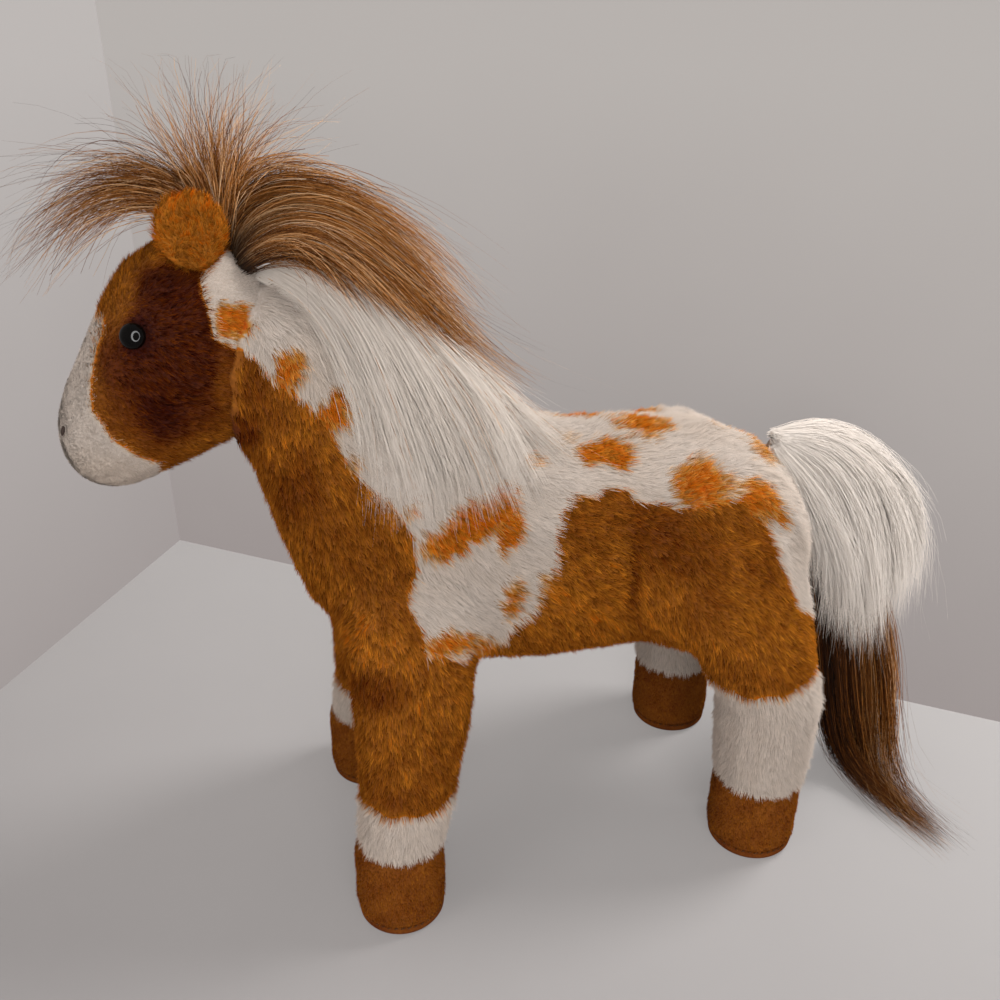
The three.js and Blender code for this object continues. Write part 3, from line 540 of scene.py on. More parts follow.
# Each shade: across, down, half length, half width, turn in degrees, tone, strength.
# Most body shades are the plush's own patches of colour; those that are painted light or shade are marked.
BODY_TONES_AND_PAINTED_SHADING = (
    # Painted shade: the patch at 590, 524 darkens the top of the flank.
    (590, 524, 40, 34, 0, BROWN + 0.03, 0.6), (675, 540, 66, 46, 20, BROWN + 0.01, 0.75),
    (655, 530, 26, 24, 0, DARK_BROWN + 0.02, 0.5),
    (700, 556, 60, 26, 15, BROWN, 0.35), (706, 612, 34, 22, 0, BROWN + 0.01, 0.5),
    # Painted shade: the thin line at 634, 565 darkens the crease in front of the thigh.
    (792, 600, 16, 60, -20, GOLDEN_BROWN + 0.05, 0.6), (634, 565, 6, 70, 0, BROWN - 0.05, 0.8),
    # Painted light: the patch at 765, 640 lightens the thigh.
    (765, 640, 62, 62, 0, LIGHT_BROWN - 0.01, 0.8),
    (300, 480, 26, 46, 10, DARK_BROWN + 0.02, 0.7), (375, 690, 40, 24, 0, DARK_BROWN + 0.02, 0.75),
    (412, 800, 60, 14, 5, BROWN, 0.6), (380, 570, 30, 40, 0, BROWN + 0.04, 0.25),
    (262, 394, 34, 20, 40, BROWN + 0.01, 0.7), (250, 380, 16, 20, 0, BROWN - 0.02, 0.6),
    (245, 425, 20, 26, 0, DARK_RED + 0.04, 0.8), (275, 415, 24, 20, 30, BROWN, 0.45),
    (745, 670, 60, 16, 8, BROWN + 0.04, 0.45), (330, 640, 24, 60, 0, BROWN + 0.06, 0.15),
)
MUZZLE_EDGE = (
    (101, 318), (96, 343), (87, 376), (89, 408), (110, 438), (134, 454), (160, 468), (175, 540),
    (0, 540), (0, 250), (80, 318),
)
HEAD_SHADES = (
    (170, 348, 84, 108, 0, DARK_RED + 0.03, 0.95), (172, 345, 80, 96, 0, DARK_RED + 0.03, 0.8),
    (160, 418, 30, 24, 30, DARK_RED - 0.01, 0.85), (133, 337, 24, 28, 0, DARK_RED - 0.03, 0.85),
    (170, 290, 34, 24, 20, DARK_RED + 0.01, 0.7), (118, 292, 22, 54, 12, GOLDEN_BROWN + 0.06, 0.9),
    (148, 254, 48, 17, -20, GOLDEN_BROWN + 0.06, 0.85), (205, 442, 50, 12, -20, GOLDEN_BROWN + 0.03, 0.85),
    (98, 400, 9, 44, 0, GOLDEN_BROWN, 0.6), (224, 390, 14, 46, 0, BROWN + 0.06, 0.7),
)
FRONT_SOCK_TOP = 70 * MM
HIND_SOCK_TOP = 113 * MM


def near_side(points):
    """Points of the far side moved to the near side."""
    near = points.copy()
    near[:, 0] = MIDDLE + np.abs(points[:, 0] - MIDDLE)
    return near


def shaded(tone, spots, shades):
    for px, py, long, short, turn, aim, strength in shades:
        share = (1 - ramp(oval(spots, px, py, long, short, turn), 0.35, 1.15)) * strength
        tone = mix(tone, aim, share)
    return tone


def shaken(near, spots, size, seed, amount):
    """Places in the picture moved by waves, for uneven edges."""
    moves = [waves(near, size * MM, seed), waves(near, size * MM, seed + 1)]
    return spots + np.stack(moves, 1) * amount


def coat_tone(near, spots):
    """The tone of the cream coat with its spots."""
    cream = WHITE - 0.01 + 0.02 * waves(near, 20 * MM, 7)
    spots = shaken(near, spots, 4, 10, 3)
    for px, py, long, short, turn, depth in COAT_SPOTS:
        r = oval(spots, px, py, long, short, turn)
        core = mix(BROWN + 0.17, ORANGE - 0.01, ramp(r, 0.0, 0.5))
        colour = mix(mix(core, PALE_GOLD, ramp(r, 0.66, 1.12)), WHITE, ramp(r, 1.08, 1.35))
        cream = np.minimum(cream, mix(WHITE, colour, depth))
    return cream


def with_coat(tone, near, spots, where=1):
    """A tone with the cream coat over it."""
    coat = (1 - ramp(outside_by(spots, COAT_EDGE), -1.5, 3.0)) * where
    return mix(tone, coat_tone(near, spots), coat)


def body_tone(points):
    """The tone of the body's, neck's and legs' pile."""
    near = near_side(points)
    spots = shaken(near, pixels(near), 12, 3, 4)
    brown = GOLDEN_BROWN + 0.04 * waves(near, 28 * MM, 5) + 0.035 * waves(near, 7 * MM, 6)
    tone = with_coat(shaded(brown, spots, BODY_TONES_AND_PAINTED_SHADING), near, spots, points[:, 2] > 118 * MM)
    slope = HIND_SOCK_TOP + 0.1 * (points[:, 1] - 0.11)
    top = np.where(points[:, 1] < 0, FRONT_SOCK_TOP, slope)
    edge = points[:, 2] + 1.2 * MM * waves(points, 9 * MM, 8)
    sock = 1 - ramp(edge - top, -1.0 * MM, 1.0 * MM)
    return mix(tone, WHITE - 0.02, sock)


def head_tone(points):
    """The tone of the head's pile."""
    near = near_side(points)
    spots = shaken(near, pixels(near), 12, 13, 3)
    tone = BROWN + 0.05 + 0.03 * waves(near, 20 * MM, 15)
    tone = shaded(tone, spots, HEAD_SHADES)
    white = 1 - ramp(outside_by(spots, MUZZLE_EDGE), -2.0, 4.0)
    # Painted shade: the underside of the nose is tinted a darker, warmer cream.
    under = (1 - ramp(oval(spots, 110, 478, 66, 30, 12), 0.4, 1.2)) * 0.05
    return with_coat(mix(tone, WHITE - under, white), near, spots)


# How the pile lies

def brushed(points, first, turns, sways):
    """One way, turned to others by shares, and swayed: axis, amount, size in millimetres, seed."""
    lay = np.tile(np.array(first), (len(points), 1))
    for way, share in turns:
        lay = mix(lay, np.array(way), share[:, None])
    for axis, amount, size, seed in sways:
        lay[:, axis] += amount * waves(points, size * MM, seed)
    return lay


def body_lay(points):
    """The way the pile is brushed on the body, neck and legs."""
    neck = 1 - ramp(points[:, 1], -0.1, -0.02)
    low = 1 - ramp(points[:, 2], 0.12, 0.17)
    rump = ramp(points[:, 1], 0.08, 0.14)
    turns = (((0, 0.35, -0.95), neck), ((0, 0.1, -1.0), low), ((0, 0.45, -0.95), rump))
    sways = ((0, 0.22, 22, 21), (1, 0.3, 26, 22), (2, 0.22, 18, 23))
    return brushed(points, (0, 0.75, -0.55), turns, sways)


def head_lay(points):
    """The way the pile is brushed on the head, back from the nose."""
    snout = 1 - ramp(points[:, 1], -0.2, -0.17)
    sways = ((0, 0.2, 16, 31), (1, 0.2, 14, 32), (2, 0.3, 14, 33))
    return brushed(points, (0, 0.85, -0.25), (((0, 0.55, 0.35), snout),), sways)


def hoof_lay(points):
    return brushed(points, (0, 0, -1.0), (), ((0, 0.4, 7, 41), (1, 0.4, 7, 42)))


def ear_lay(points):
    return brushed(points, (0, 0.1, 0.9), (), ((1, 0.5, 7, 43), (0, 0.3, 7, 44)))


# Meshes of strands

MOST_STRANDS = 49000
MOST_FACES = 195000
GUIDE_STEPS = 39


def strand_object(name, points, triangles, normals, places, look):
    """A mesh of strands, with their normals and their map of tone and height."""
    thing = new_object(name, points.reshape(-1, 3), triangles.reshape(-1, 3))
    mesh = thing.data
    mesh.validate()
    layer = mesh.uv_layers.new(name="OFBake")
    corners = places.reshape(-1, 2)[triangles.ravel()]
    layer.uv.foreach_set("vector", corners.astype(np.float32).ravel())
    mesh.materials.append(LOOKS[look])
    mesh.normals_split_custom_set_from_vertices(normals.reshape(-1, 3).astype(np.float32))
    return thing


def labels(name, parts):
    """The names of a piece's parts."""
    return [name] if parts == 1 else [f"{name}_{k + 1}" for k in range(parts)]


def pile(name, form, keep, tone_of, lay_of, per_mm2, length, width, lean, seed, bunch=3.0 * MM):
    """Short fibres over part of a form, each a slim closed spike, that lean together in bunches."""
    rng = np.random.default_rng(seed)
    normals = form.normals()
    quads = form.faces[keep[form.faces].all(1)]
    corner = form.points[quads]
    area = np.linalg.norm(np.cross(corner[:, 2] - corner[:, 0], corner[:, 3] - corner[:, 1]), axis=1) / 2
    middle = corner.mean(1)
    counts = rng.poisson(area / MM ** 2 * per_mm2(tone_of(middle), middle))
    face = np.repeat(np.arange(len(quads)), counts)
    u, v = rng.random((2, len(face), 1))

    def between(corners):
        return mix(mix(corners[:, 0], corners[:, 1], u), mix(corners[:, 3], corners[:, 2], u), v)

    roots = between(form.points[quads[face]])
    n = unit(between(normals[quads[face]]))
    count = len(roots)
    tone = tone_of(roots + rng.normal(size=(count, 3)) * 0.7 * MM)
    middle, own = bunches(roots, bunch, seed + 5)
    streaks = bunches(roots, bunch * 0.45, seed + 6)[1]
    pale = ramp(tone, 0.7, 0.9)
    reach = length(tone, roots) * rng.uniform(0.75, 1.2, count) * (1 + 0.1 * np.clip(own[:, 4], -2, 2))
    lay = lay_of(roots) + rng.normal(size=(count, 3)) * 0.13 + own[:, :3] * 0.13
    tilt = lean(tone) + 6 * waves(roots, 5 * MM, seed + 1) + 4 * own[:, 3] + rng.normal(size=count) * 6
    lift = np.radians(np.clip(tilt, 8, 85))[:, None]
    way = unit(unit(level(lay, n)) * np.cos(lift) + n * np.sin(lift))
    side = unit(np.cross(way, n))
    up = np.cross(side, way)
    half = (width * rng.uniform(0.75, 1.3, count) / 2)[:, None]
    sunk = roots - n * 0.25 * MM
    tip = roots + way * reach[:, None] + level(middle - roots, n) * mix(0.4, 0.18, pale)[:, None]
    points = np.stack([sunk - side * half, sunk + side * half, sunk + up * half * 1.2, tip], 1)
    shown = unit(n * 0.75 + up * 0.25)
    around = np.stack([unit(shown - side * 0.35), unit(shown + side * 0.35), shown, shown], 1)
    vary = 0.5 * rng.normal(size=count) + 1.1 * streaks[:, 1] + 0.7 * own[:, 0]
    tone = np.clip(tone + np.clip(vary, -3, 1.6) * mix(0.04, 0.008, pale), 0.01, 0.99)
    bright = 0.76 + 0.15 * rng.normal(size=count) + 0.11 * own[:, 1] + 0.19 * streaks[:, 0]
    bright = np.clip(mix(bright, 0.66 + 0.2 * (bright - 0.8), pale), 0.3, 0.99)
    # Painted shade: the root sits low on the strand's shade ramp, less so on pale fibres.
    base = mix(0.06, 0.34, pale)
    across = np.stack([tone - 0.004, tone + 0.004, tone, tone], 1)
    places = np.stack([across, np.stack([base, base, base - 0.04, bright], 1)], 2)
    pattern = np.array([[0, 1, 2], [1, 0, 3], [2, 1, 3], [0, 2, 3]])
    things = []
    names = labels(name, max(1, ceil(count / MOST_STRANDS)))
    order = np.argsort(roots[:, 1], kind="stable")
    for label, chosen in zip(names, np.array_split(order, len(names))):
        triangles = np.arange(len(chosen))[:, None, None] * 4 + pattern
        things.append(strand_object(label, points[chosen], triangles, around[chosen], places[chosen], "pile"))
    return things


def through(points, count):
    """A smooth path through points, as evenly spaced points."""
    p = np.array(points, float)
    p = np.concatenate([[2 * p[0] - p[1]], p, [2 * p[-1] - p[-2]]])
    fine = []
    for a, b, c, d in zip(p, p[1:], p[2:], p[3:]):
        for t in np.linspace(0, 1, 12, endpoint=False):
            fine.append(0.5 * (2 * b + (c - a) * t + (2 * a - 5 * b + 4 * c - d) * t * t
                               + (3 * b - a - 3 * c + d) * t ** 3))
    fine = np.array(fine + [p[-2]])
    far = np.concatenate([[0], np.cumsum(np.linalg.norm(np.diff(fine, axis=0), axis=1))])
    at = np.linspace(0, far[-1], count)
    return np.stack([np.interp(at, far, fine[:, k]) for k in range(3)], 1)


def strand_tubes(name, paths, radii, tones, outer, look, soft):
    """Long hairs, each a thin closed three-sided tube that ends in a point."""
    count, steps, _ = paths.shape
    along = unit(np.gradient(paths, axis=1))
    side = unit(np.cross(along, np.array([0.31, 0.17, 0.93])))
    other = np.cross(side, along)
    rings, outward, places = [], [], []
    height = np.tile(np.linspace(0.02, 0.98, steps), (count, 1))
    for k, (x, y) in enumerate(circle(3)):
        out = side * x + other * y
        rings.append(paths + out * radii[:, :, None])
        outward.append(unit(out * (1 - soft) + outer * soft))
        across = np.repeat((tones + (k - 1) * 0.004)[:, None], steps, 1)
        places.append(np.stack([across, height], 2))
    pattern = []
    for row in range(steps - 1):
        for k in range(3):
            a, b = row * 3 + k, row * 3 + (k + 1) % 3
            pattern += [[b, a, b + 3], [b + 3, a, a + 3]]
    last = (steps - 1) * 3
    pattern += [[0, 1, 2], [last, last + 2, last + 1]]
    triangles = np.arange(count)[:, None, None] * steps * 3 + np.array(pattern)
    points, normals, places = (np.stack(part, 2) for part in (rings, outward, places))
    return strand_object(name, points, triangles, normals, places, look)


def hair(name, guides, count, seed, tone_of, spread, width, hub, look, steps=10, clumps=5, gather=0.6,
         loose=0.16, tree=None, clear=1.0, shortest=0.6, wave=1.2, soft=0.5, shares=None, thin=1.0):
    """Long hair between neighbouring guides, drawn together into clumps at its ends. The hub is the
    way from the hair's middle to where it bulges from, for its shading. Lengths are in millimetres."""
    rng = np.random.default_rng(seed)
    paths = np.stack([through([guide_place(*stop) for stop in guide], GUIDE_STEPS + 1) for guide in guides])
    many = len(guides) - 1
    weights = np.array(shares if shares else (1,) * many, float)
    place = rng.choice(many, count, p=weights / weights.sum()) + rng.uniform(0, 0.999, count)
    groups = np.floor(place * clumps).astype(int)
    clump = np.clip((groups + 0.5) / clumps, 0, len(guides) - 1.001)
    reach = shortest + (1 - shortest) * rng.random(count) ** thin
    t = np.linspace(0, 1, steps)[None, :] * reach[:, None]
    pull = gather * t ** 1.5
    where = mix(place[:, None], clump[:, None], pull)
    low = np.floor(where).astype(int)
    at = t * GUIDE_STEPS
    first = np.minimum(np.floor(at).astype(int), GUIDE_STEPS - 1)
    part = (at - first)[:, :, None]
    one = mix(paths[low, first], paths[low, first + 1], part)
    two = mix(paths[low + 1, first], paths[low + 1, first + 1], part)
    line = mix(one, two, (where - low)[:, :, None])
    spread = np.array(spread) * MM
    clump_off = rng.normal(size=(groups.max() + 1, 3))[groups]
    own_off = rng.normal(size=(count, 3))
    along = t[:, :, None]
    line = line + (clump_off * spread * 1.1)[:, None, :] * along ** 1.2
    line = line + (own_off * spread)[:, None, :] * (0.3 + 0.7 * along) * (1 - 0.6 * pull)[:, :, None]
    turn = rng.uniform(0, 2 * pi, (count, 3))[:, None, :]
    beat = rng.uniform(3, 8, count)[:, None, None]
    line = line + np.sin(along * beat + turn) * along * wave * MM
    stray = rng.random(count) < loose
    drift = rng.normal(size=(count, 3)) * spread * 2.4
    drift[:, 2] = np.abs(drift[:, 2]) * 0.8
    line = line + (drift * stray[:, None])[:, None, :] * along ** 1.6
    if tree is not None:
        for _ in range(2):
            line = pushed_out(line.reshape(-1, 3), tree, clear * MM).reshape(line.shape)
            line[:, 1:-1] = line[:, 1:-1] * 0.4 + (line[:, :-2] + line[:, 2:]) * 0.3
    line = within_room(line)
    line[:, :, 2] = np.maximum(line[:, :, 2], 1.2 * MM)
    slim = np.where(stray, 0.5, 1.0) * rng.uniform(0.7, 1.3, count)
    radii = width * MM / 2 * slim[:, None] * np.clip(1.05 - t ** 2.2, 0.12, 1)
    tones = tone_of(place / many, rng)
    locks = np.floor(place * clumps * 3).astype(int)
    brown = tones < 0.8
    vary = rng.normal(size=locks.max() + 1)[locks] * np.where(brown, 0.13, 0.005)
    tones = np.clip(tones + vary - np.where(stray & brown, 0.1, 0), 0.01, np.where(brown, 0.77, 0.99))
    outer = unit(line - line.mean(0, keepdims=True) - np.array(hub) * MM)
    names = labels(name, ceil(count * (6 * steps - 4) / MOST_FACES))
    things = []
    for k, label in enumerate(names):
        own = slice(k, None, len(names))
        things.append(strand_tubes(label, line[own], radii[own], tones[own], outer[own], look, soft))
    return things


def within_room(points):
    """Points held in the room round the solids, with a soft limit."""
    low, high = (np.array(corner) for corner in CAD_BOX)
    room = (high - low) * 0.03 + 8 * MM
    soft = 6 * MM
    over = np.maximum(points - (high + room - soft), 0)
    under = np.maximum((low - room + soft) - points, 0)
    return points - over + soft * np.tanh(over / soft) + under - soft * np.tanh(under / soft)


# Pieces

def store(thing, tone):
    """Keeps the tone and the place at rest on a piece, for its material."""
    mesh = thing.data
    co = vertices(mesh)
    mesh.attributes.new("rest", "FLOAT_VECTOR", "POINT").data.foreach_set("vector", co.ravel())
    mesh.attributes.new("tone", "FLOAT", "POINT").data.foreach_set("value", tone(co))


def dress(things, body, slot, *nodes, look=None, fill=None):
    """Puts pieces on a body, each with the look if one is given, and hides the nodes. The fill is not used.
    """
    for thing in things:
        if look:
            thing.data.materials.append(LOOKS[look])
        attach(thing, body)
    if nodes:
        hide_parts(*nodes)


def skin(name, form, tone, shell=0.0):
    """A piece of plush skin. A shell is given thickness inward."""
    thing = new_object(name, form.points, form.faces)
    if shell:
        solid = thing.modifiers.new("shell", "SOLIDIFY")
        solid.thickness = shell
        solid.offset = -1
        applied(thing)
    store(thing, tone)
    thing.data.materials.append(LOOKS["skin"])
    return thing


def body_length(tone, points):
    """Fibre length: longer where the coat is pale."""
    pale = ramp(tone, 0.55, 0.9)
    low = 1 - ramp(points[:, 2], 0.09, 0.14)
    return (4.4 + 1.3 * pale * (1 - 0.7 * low)) * MM


PILE_SHARE = 0.42


def under_pile(points, tone_of, length_of):
    """How far the skin lies under the outline, where the pile ends."""
    return length_of(tone_of(points), points)[:, None] * PILE_SHARE


HEAD_NODES = ["head_stuffing", "forehead_gusset", "left_head_panel", "right_head_panel"]
HEAD_CUT = ("head", 1, -150 * MM)
# The voxel and the smoothing passes of the body's forms.
BODY_FORM = (2.6 * MM, 14)


def make_body():
    """Torso, legs and their pile. The torso is closed over the tops of the legs."""
    torso_nodes = ["body_stuffing", "neck_stuffing", "belly_gusset"]
    torso_nodes += [f"{side}_{part}_panel" for side in SIDES for part in ("cream", "neck", "flank")]
    tops = [f"{leg}_leg_{piece}" for leg in LEGS for piece in ("skin", "stuffing")]
    torso = grown(torso_nodes + tops + HEAD_NODES, *BODY_FORM, (("leg_s", 2, 140 * MM), HEAD_CUT))
    leg_nodes = [[f"{leg}_leg_skin", f"{leg}_sock", f"{leg}_leg_stuffing"] for leg in LEGS]
    cuts = (("leg_stuffing", 2, 40 * MM), HEAD_CUT)
    whole = grown(torso_nodes + sum(leg_nodes, []) + HEAD_NODES, *BODY_FORM, cuts)
    from_leg = np.stack([far_from(whole.points, nodes) for nodes in leg_nodes])
    nearest = from_leg.argmin(0)
    border = far_from(whole.points, torso_nodes) - from_leg.min(0)
    for _ in range(5):
        border = mix(border, whole.spread(border), 0.5)
    crease = np.exp(-(border / (13 * MM)) ** 2) * np.where(whole.points[:, 1] < 0, 1.0, 0.45)
    for _ in range(40):
        whole.points = mix(whole.points, whole.spread(whole.points), 0.6 * crease[:, None])
    out = whole.normals()
    whole.points = whole.points - out * under_pile(whole.points, body_tone, body_length)
    tree = whole.tree()
    face_border = border[whole.faces].mean(1)
    outer = np.array([tree.find_nearest(point)[2] for point in torso.points])
    under = ramp(face_border[outer], -2 * MM, 5 * MM) * 2.6 * MM
    beside = far_from(torso.points, torso_nodes) - far_from(torso.points, HEAD_NODES)
    under += ramp(beside, -3 * MM, 2 * MM) * 3.0 * MM
    inset = under_pile(torso.points, body_tone, body_length)
    torso.points = torso.points - torso.normals() * (inset + under[:, None] + 0.2 * MM)
    kept_inside(torso, tree, under + 0.2 * MM)

    piece = skin("torso_skin", torso, body_tone)
    dress([piece], "body", "cream_plush", *torso_nodes, fill=0.8)
    on_torso = border < 1.5 * MM
    on_torso &= far_from(whole.points, torso_nodes) < far_from(whole.points, HEAD_NODES) + 0.5 * MM
    dress(body_fur("body_pile", whole, on_torso, 101), "body", "cream_plush")
    for k, leg in enumerate(LEGS):
        make_leg(leg, leg_nodes[k], whole, border, nearest == k, out, 111 + 10 * k)
    return whole


def body_fur(name, form, keep, seed):
    return pile(name, form, keep, body_tone, body_lay, by_tone(0.6, 1.5, 0.6), body_length, 0.36 * MM,
                by_tone(0.6, 30, -5), seed)


def make_leg(leg, nodes, whole, border, mine, out, seed):
    """One leg's skin and pile. The top follows the body, so no gap opens at the hip."""
    band = 7 * MM
    sunk = ramp(-border, 0, band) * 3.0 * MM
    lowered = Form(whole.points - out * sunk[:, None], whole.faces)
    shell = lowered.part(mine & (border > -band)).largest()
    piece = skin(f"{leg}_leg_skin_soft", shell, body_tone, 1.5 * MM)
    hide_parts(*nodes)
    for thing in [piece] + body_fur(f"{leg}_pile", whole, mine & (border > -1.5 * MM), seed):
        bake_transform(thing)


def make_head():
    """Head skin and pile, with the eyes' hollows."""
    nodes = HEAD_NODES[:1] + ["muzzle"] + HEAD_NODES[1:]
    head = grown(nodes, 2.0 * MM, 10)
    out = head.normals()
    for side in SIDES:
        place, way = eye_place(side)
        near = np.linalg.norm(head.points - place, axis=1)
        head.points = head.points - np.outer(np.exp(-(near / (7 * MM)) ** 2) * 1.2 * MM, way)
    head.points = head.points - out * under_pile(head.points, head_tone, head_length)
    dress([skin("head_skin", head, head_tone)], "head", "dark_plush", *nodes, fill=0.85)
    fur = pile("head_pile", head, from_eye(head.points) > 5.2 * MM, head_tone, head_lay,
               by_tone(0.7, 2.2, 2.6), head_length, 0.28 * MM, by_tone(0.7, 32, 10), 171, 2.0 * MM)
    dress(fur, "head", "dark_plush")
    return head


def from_eye(points):
    """Distance to the nearer eye."""
    return np.min([np.linalg.norm(points - eye_place(side)[0], axis=1) for side in SIDES], axis=0)


def head_length(tone, points):
    """Shorter on the nose and round the eyes."""
    nose = ramp(tone, 0.7, 0.9)
    eye = 1 - ramp(from_eye(points), 5 * MM, 13 * MM)
    return (3.4 - 2.2 * nose) * (1 - 0.45 * eye) * MM


def eye_place(side):
    """The middle of an eye's dome at the skin, and the way it faces."""
    inner = box(f"{side}_eye_washer")[2]
    co = vertices(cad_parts[f"{side}_eye"].data)
    way = unit(box(f"{side}_eye")[2] - inner)
    for _ in range(4):
        reach = (co - inner) @ way
        way = unit(co[reach > reach.max() - 2.5 * MM].mean(0) - inner)
    return inner + way * (((co - inner) @ way).max() - 3.0 * MM), way


def lathe(profile, around, place, way):
    """A closed turned form: points of a profile (radius, height) round an axis."""
    way = Vector(way).normalized()
    side = way.orthogonal().normalized()
    other = way.cross(side)
    points, faces = [Vector(place) + way * profile[0][1]], []
    for radius, height in profile[1:-1]:
        for x, y in circle(around):
            points.append(Vector(place) + way * height + (side * x + other * y) * radius)
    points.append(Vector(place) + way * profile[-1][1])
    last = 1 + (len(profile) - 3) * around
    for k in range(around):
        after = (k + 1) % around
        faces.append([0, 1 + after, 1 + k])
        for a in range(1, last, around):
            b = a + around
            faces.append([a + k, a + after, b + after, b + k])
        faces.append([last + k, last + after, len(points) - 1])
    return np.array([list(point) for point in points]), faces


def make_eye(side):
    """A domed black eye with its rim at the skin."""
    dome = [(0, -2.0 * MM), (4.6 * MM, -2.0 * MM), (5.1 * MM, -1.2 * MM), (5.15 * MM, -0.2 * MM)]
    for step in range(1, 12):
        angle = pi / 2 * step / 12
        dome.append((5.1 * MM * cos(angle), 3.1 * MM * sin(angle)))
    dome.append((0, 3.1 * MM))
    thing = new_object(f"{side}_eye_dome", *lathe(dome, 48, *eye_place(side)))
    dress([thing], "head", "eye_plastic", f"{side}_eye", look="eye")


def make_nostril(side, head_tree):
    """A small dark stitch in the nose."""
    aim = seen(75, 430, x=0.01)
    aim[0] = MIDDLE + (1 if side == "left" else -1) * abs(aim[0] - MIDDLE)
    spot, normal, _, _ = head_tree.find_nearest(Vector(aim))
    lie = Vector((0, 0.25, 1))
    lie = (lie - normal * lie.dot(normal)).normalized()
    ends = ((0, -2.2), (0.5, -1.9), (0.75, -0.6), (0.75, 0.6), (0.5, 1.9), (0, 2.2))
    stitch = [(radius * MM, height * MM) for radius, height in ends]
    thing = new_object(f"{side}_nostril_stitch", *lathe(stitch, 12, spot + normal * 1.6 * MM, lie))
    dress([thing], "head", "dark_plush", look="thread")


def ear_tone(points):
    off = points - box("left_ear")[2]
    edge = np.hypot(off[:, 1] / (14 * MM), off[:, 2] / (17 * MM))
    return GOLD - 0.018 + 0.03 * ramp(edge, 0.5, 1.0) + 0.01 * waves(points, 8 * MM, 51)


def make_ear(side):
    """A rounded soft ear with a fuzzy rim."""
    nodes = (f"{side}_ear", f"{side}_ear_lining")
    ear = grown(nodes, 0.9 * MM, 10)
    ear.points = ear.points - ear.normals() * 0.6 * MM
    dress([skin(f"{side}_ear_skin", ear, ear_tone)], f"{side}_ear", "ear_plush", *nodes, fill=0.5)
    fur = pile(f"{side}_ear_pile", ear, np.ones(len(ear.points), bool), ear_tone, ear_lay, always(4.2),
               always(3.6 * MM), 0.26 * MM, always(34), 181, 2.2 * MM)
    dress(fur, f"{side}_ear", "ear_plush")


HOOF_AROUND = 64
HOOF_PROFILE = (
    (0, 0), (0.6, 0), (0.92, 0.0), (0.975, 0.03), (0.99, 0.1), (0.995, 0.2), (0.99, 0.35),
    (0.985, 0.5), (0.985, 0.65), (0.98, 0.8), (0.96, 0.93), (0.9, 1.0), (0.6, 1.02), (0, 1.02),
)
SOLE_PROFILE = (
    (0, 0), (0.5, 0), (0.86, 0), (0.95, 0.12), (0.985, 0.36), (0.99, 0.62), (0.95, 0.86), (0.88, 1.0),
    (0.5, 1.0), (0, 1.0),
)


def hoof_tone(points):
    return BROWN + 0.04 + 0.03 * waves(points, 10 * MM, 61) + 0.02 * waves(points, 3 * MM, 62)


def in_box(node, shares):
    """A form turned to fill a solid's box, with the box's foot, radius and height."""
    low, high, middle = box(node)
    radius, tall = (high[0] - low[0]) / 2, high[2] - low[2]
    foot = np.array([middle[0], middle[1], low[2]])
    points, faces = lathe([(r * radius, h * tall) for r, h in shares], HOOF_AROUND, foot, (0, 0, 1))
    return points, faces, foot, radius, tall


def make_hoof(leg, number):
    """A hoof of short velour over its sole."""
    points, faces, foot, _, _ = in_box(f"{leg}_hoof", HOOF_PROFILE)
    wobble = 0.35 * MM * waves(points, 14 * MM, 71 + number)
    points[:, :2] += unit(points - foot)[:, :2] * wobble[:, None]
    thing = new_object(f"{leg}_hoof_velour", points, faces)
    store(thing, hoof_tone)
    dress([thing], f"{leg}_leg", "hoof_velour", f"{leg}_hoof", look="skin", fill=0.9)
    wall = Form(points, np.array([face for face in faces if len(face) == 4]))
    side = np.zeros(len(points), bool)
    side[1 + HOOF_AROUND * 2:1 + HOOF_AROUND * 11] = True
    fur = pile(f"{leg}_hoof_pile", wall, side, hoof_tone, hoof_lay, always(2.6), always(1.7 * MM),
               0.24 * MM, always(34), 191 + 10 * number, 2.0 * MM)
    dress(fur, f"{leg}_leg", "hoof_velour")


def make_sole(leg):
    """A sole with the seam that joins it to the hoof."""
    points, faces, foot, radius, tall = in_box(f"{leg}_sole", SOLE_PROFILE)
    thing = new_object(f"{leg}_sole_velour", points, faces)
    store(thing, lambda spots: hoof_tone(spots) - 0.05)
    dress([thing], f"{leg}_leg", "sole_velour", f"{leg}_sole", look="skin", fill=0.7)
    seam = stitches(f"{leg}_sole_stitches", foot + np.array([0, 0, tall + 0.1 * MM]), radius * 0.985)
    dress([seam], f"{leg}_leg", "sole_velour", look="seam")


def stitches(name, place, radius, count=40):
    """Thread over the seam between hoof and sole."""
    points, faces = [], []
    ends = ((0, -1.1), (0.22, -0.9), (0.3, 0), (0.22, 0.9), (0, 1.1))
    for x, y in circle(count):
        spot = place + radius * np.array([x, y, 0])
        way = Vector((-y, x, 0.5)).normalized()
        own, own_faces = lathe([(r * MM, h * MM) for r, h in ends], 6, spot, way)
        faces += [[i + len(points) for i in face] for face in own_faces]
        points += own.tolist()
    return new_object(name, points, faces)


# Long hair. Each guide runs through points in the picture: across, down, and millimetres to the near
# side of the horse's middle. A fourth number is the height in millimetres of a point near the floor.

def guide_place(px, py, side, high=None):
    """The place of a guide's point."""
    return seen(px, py, x=MIDDLE + side * MM) if high is None else seen(px, py, z=high * MM)


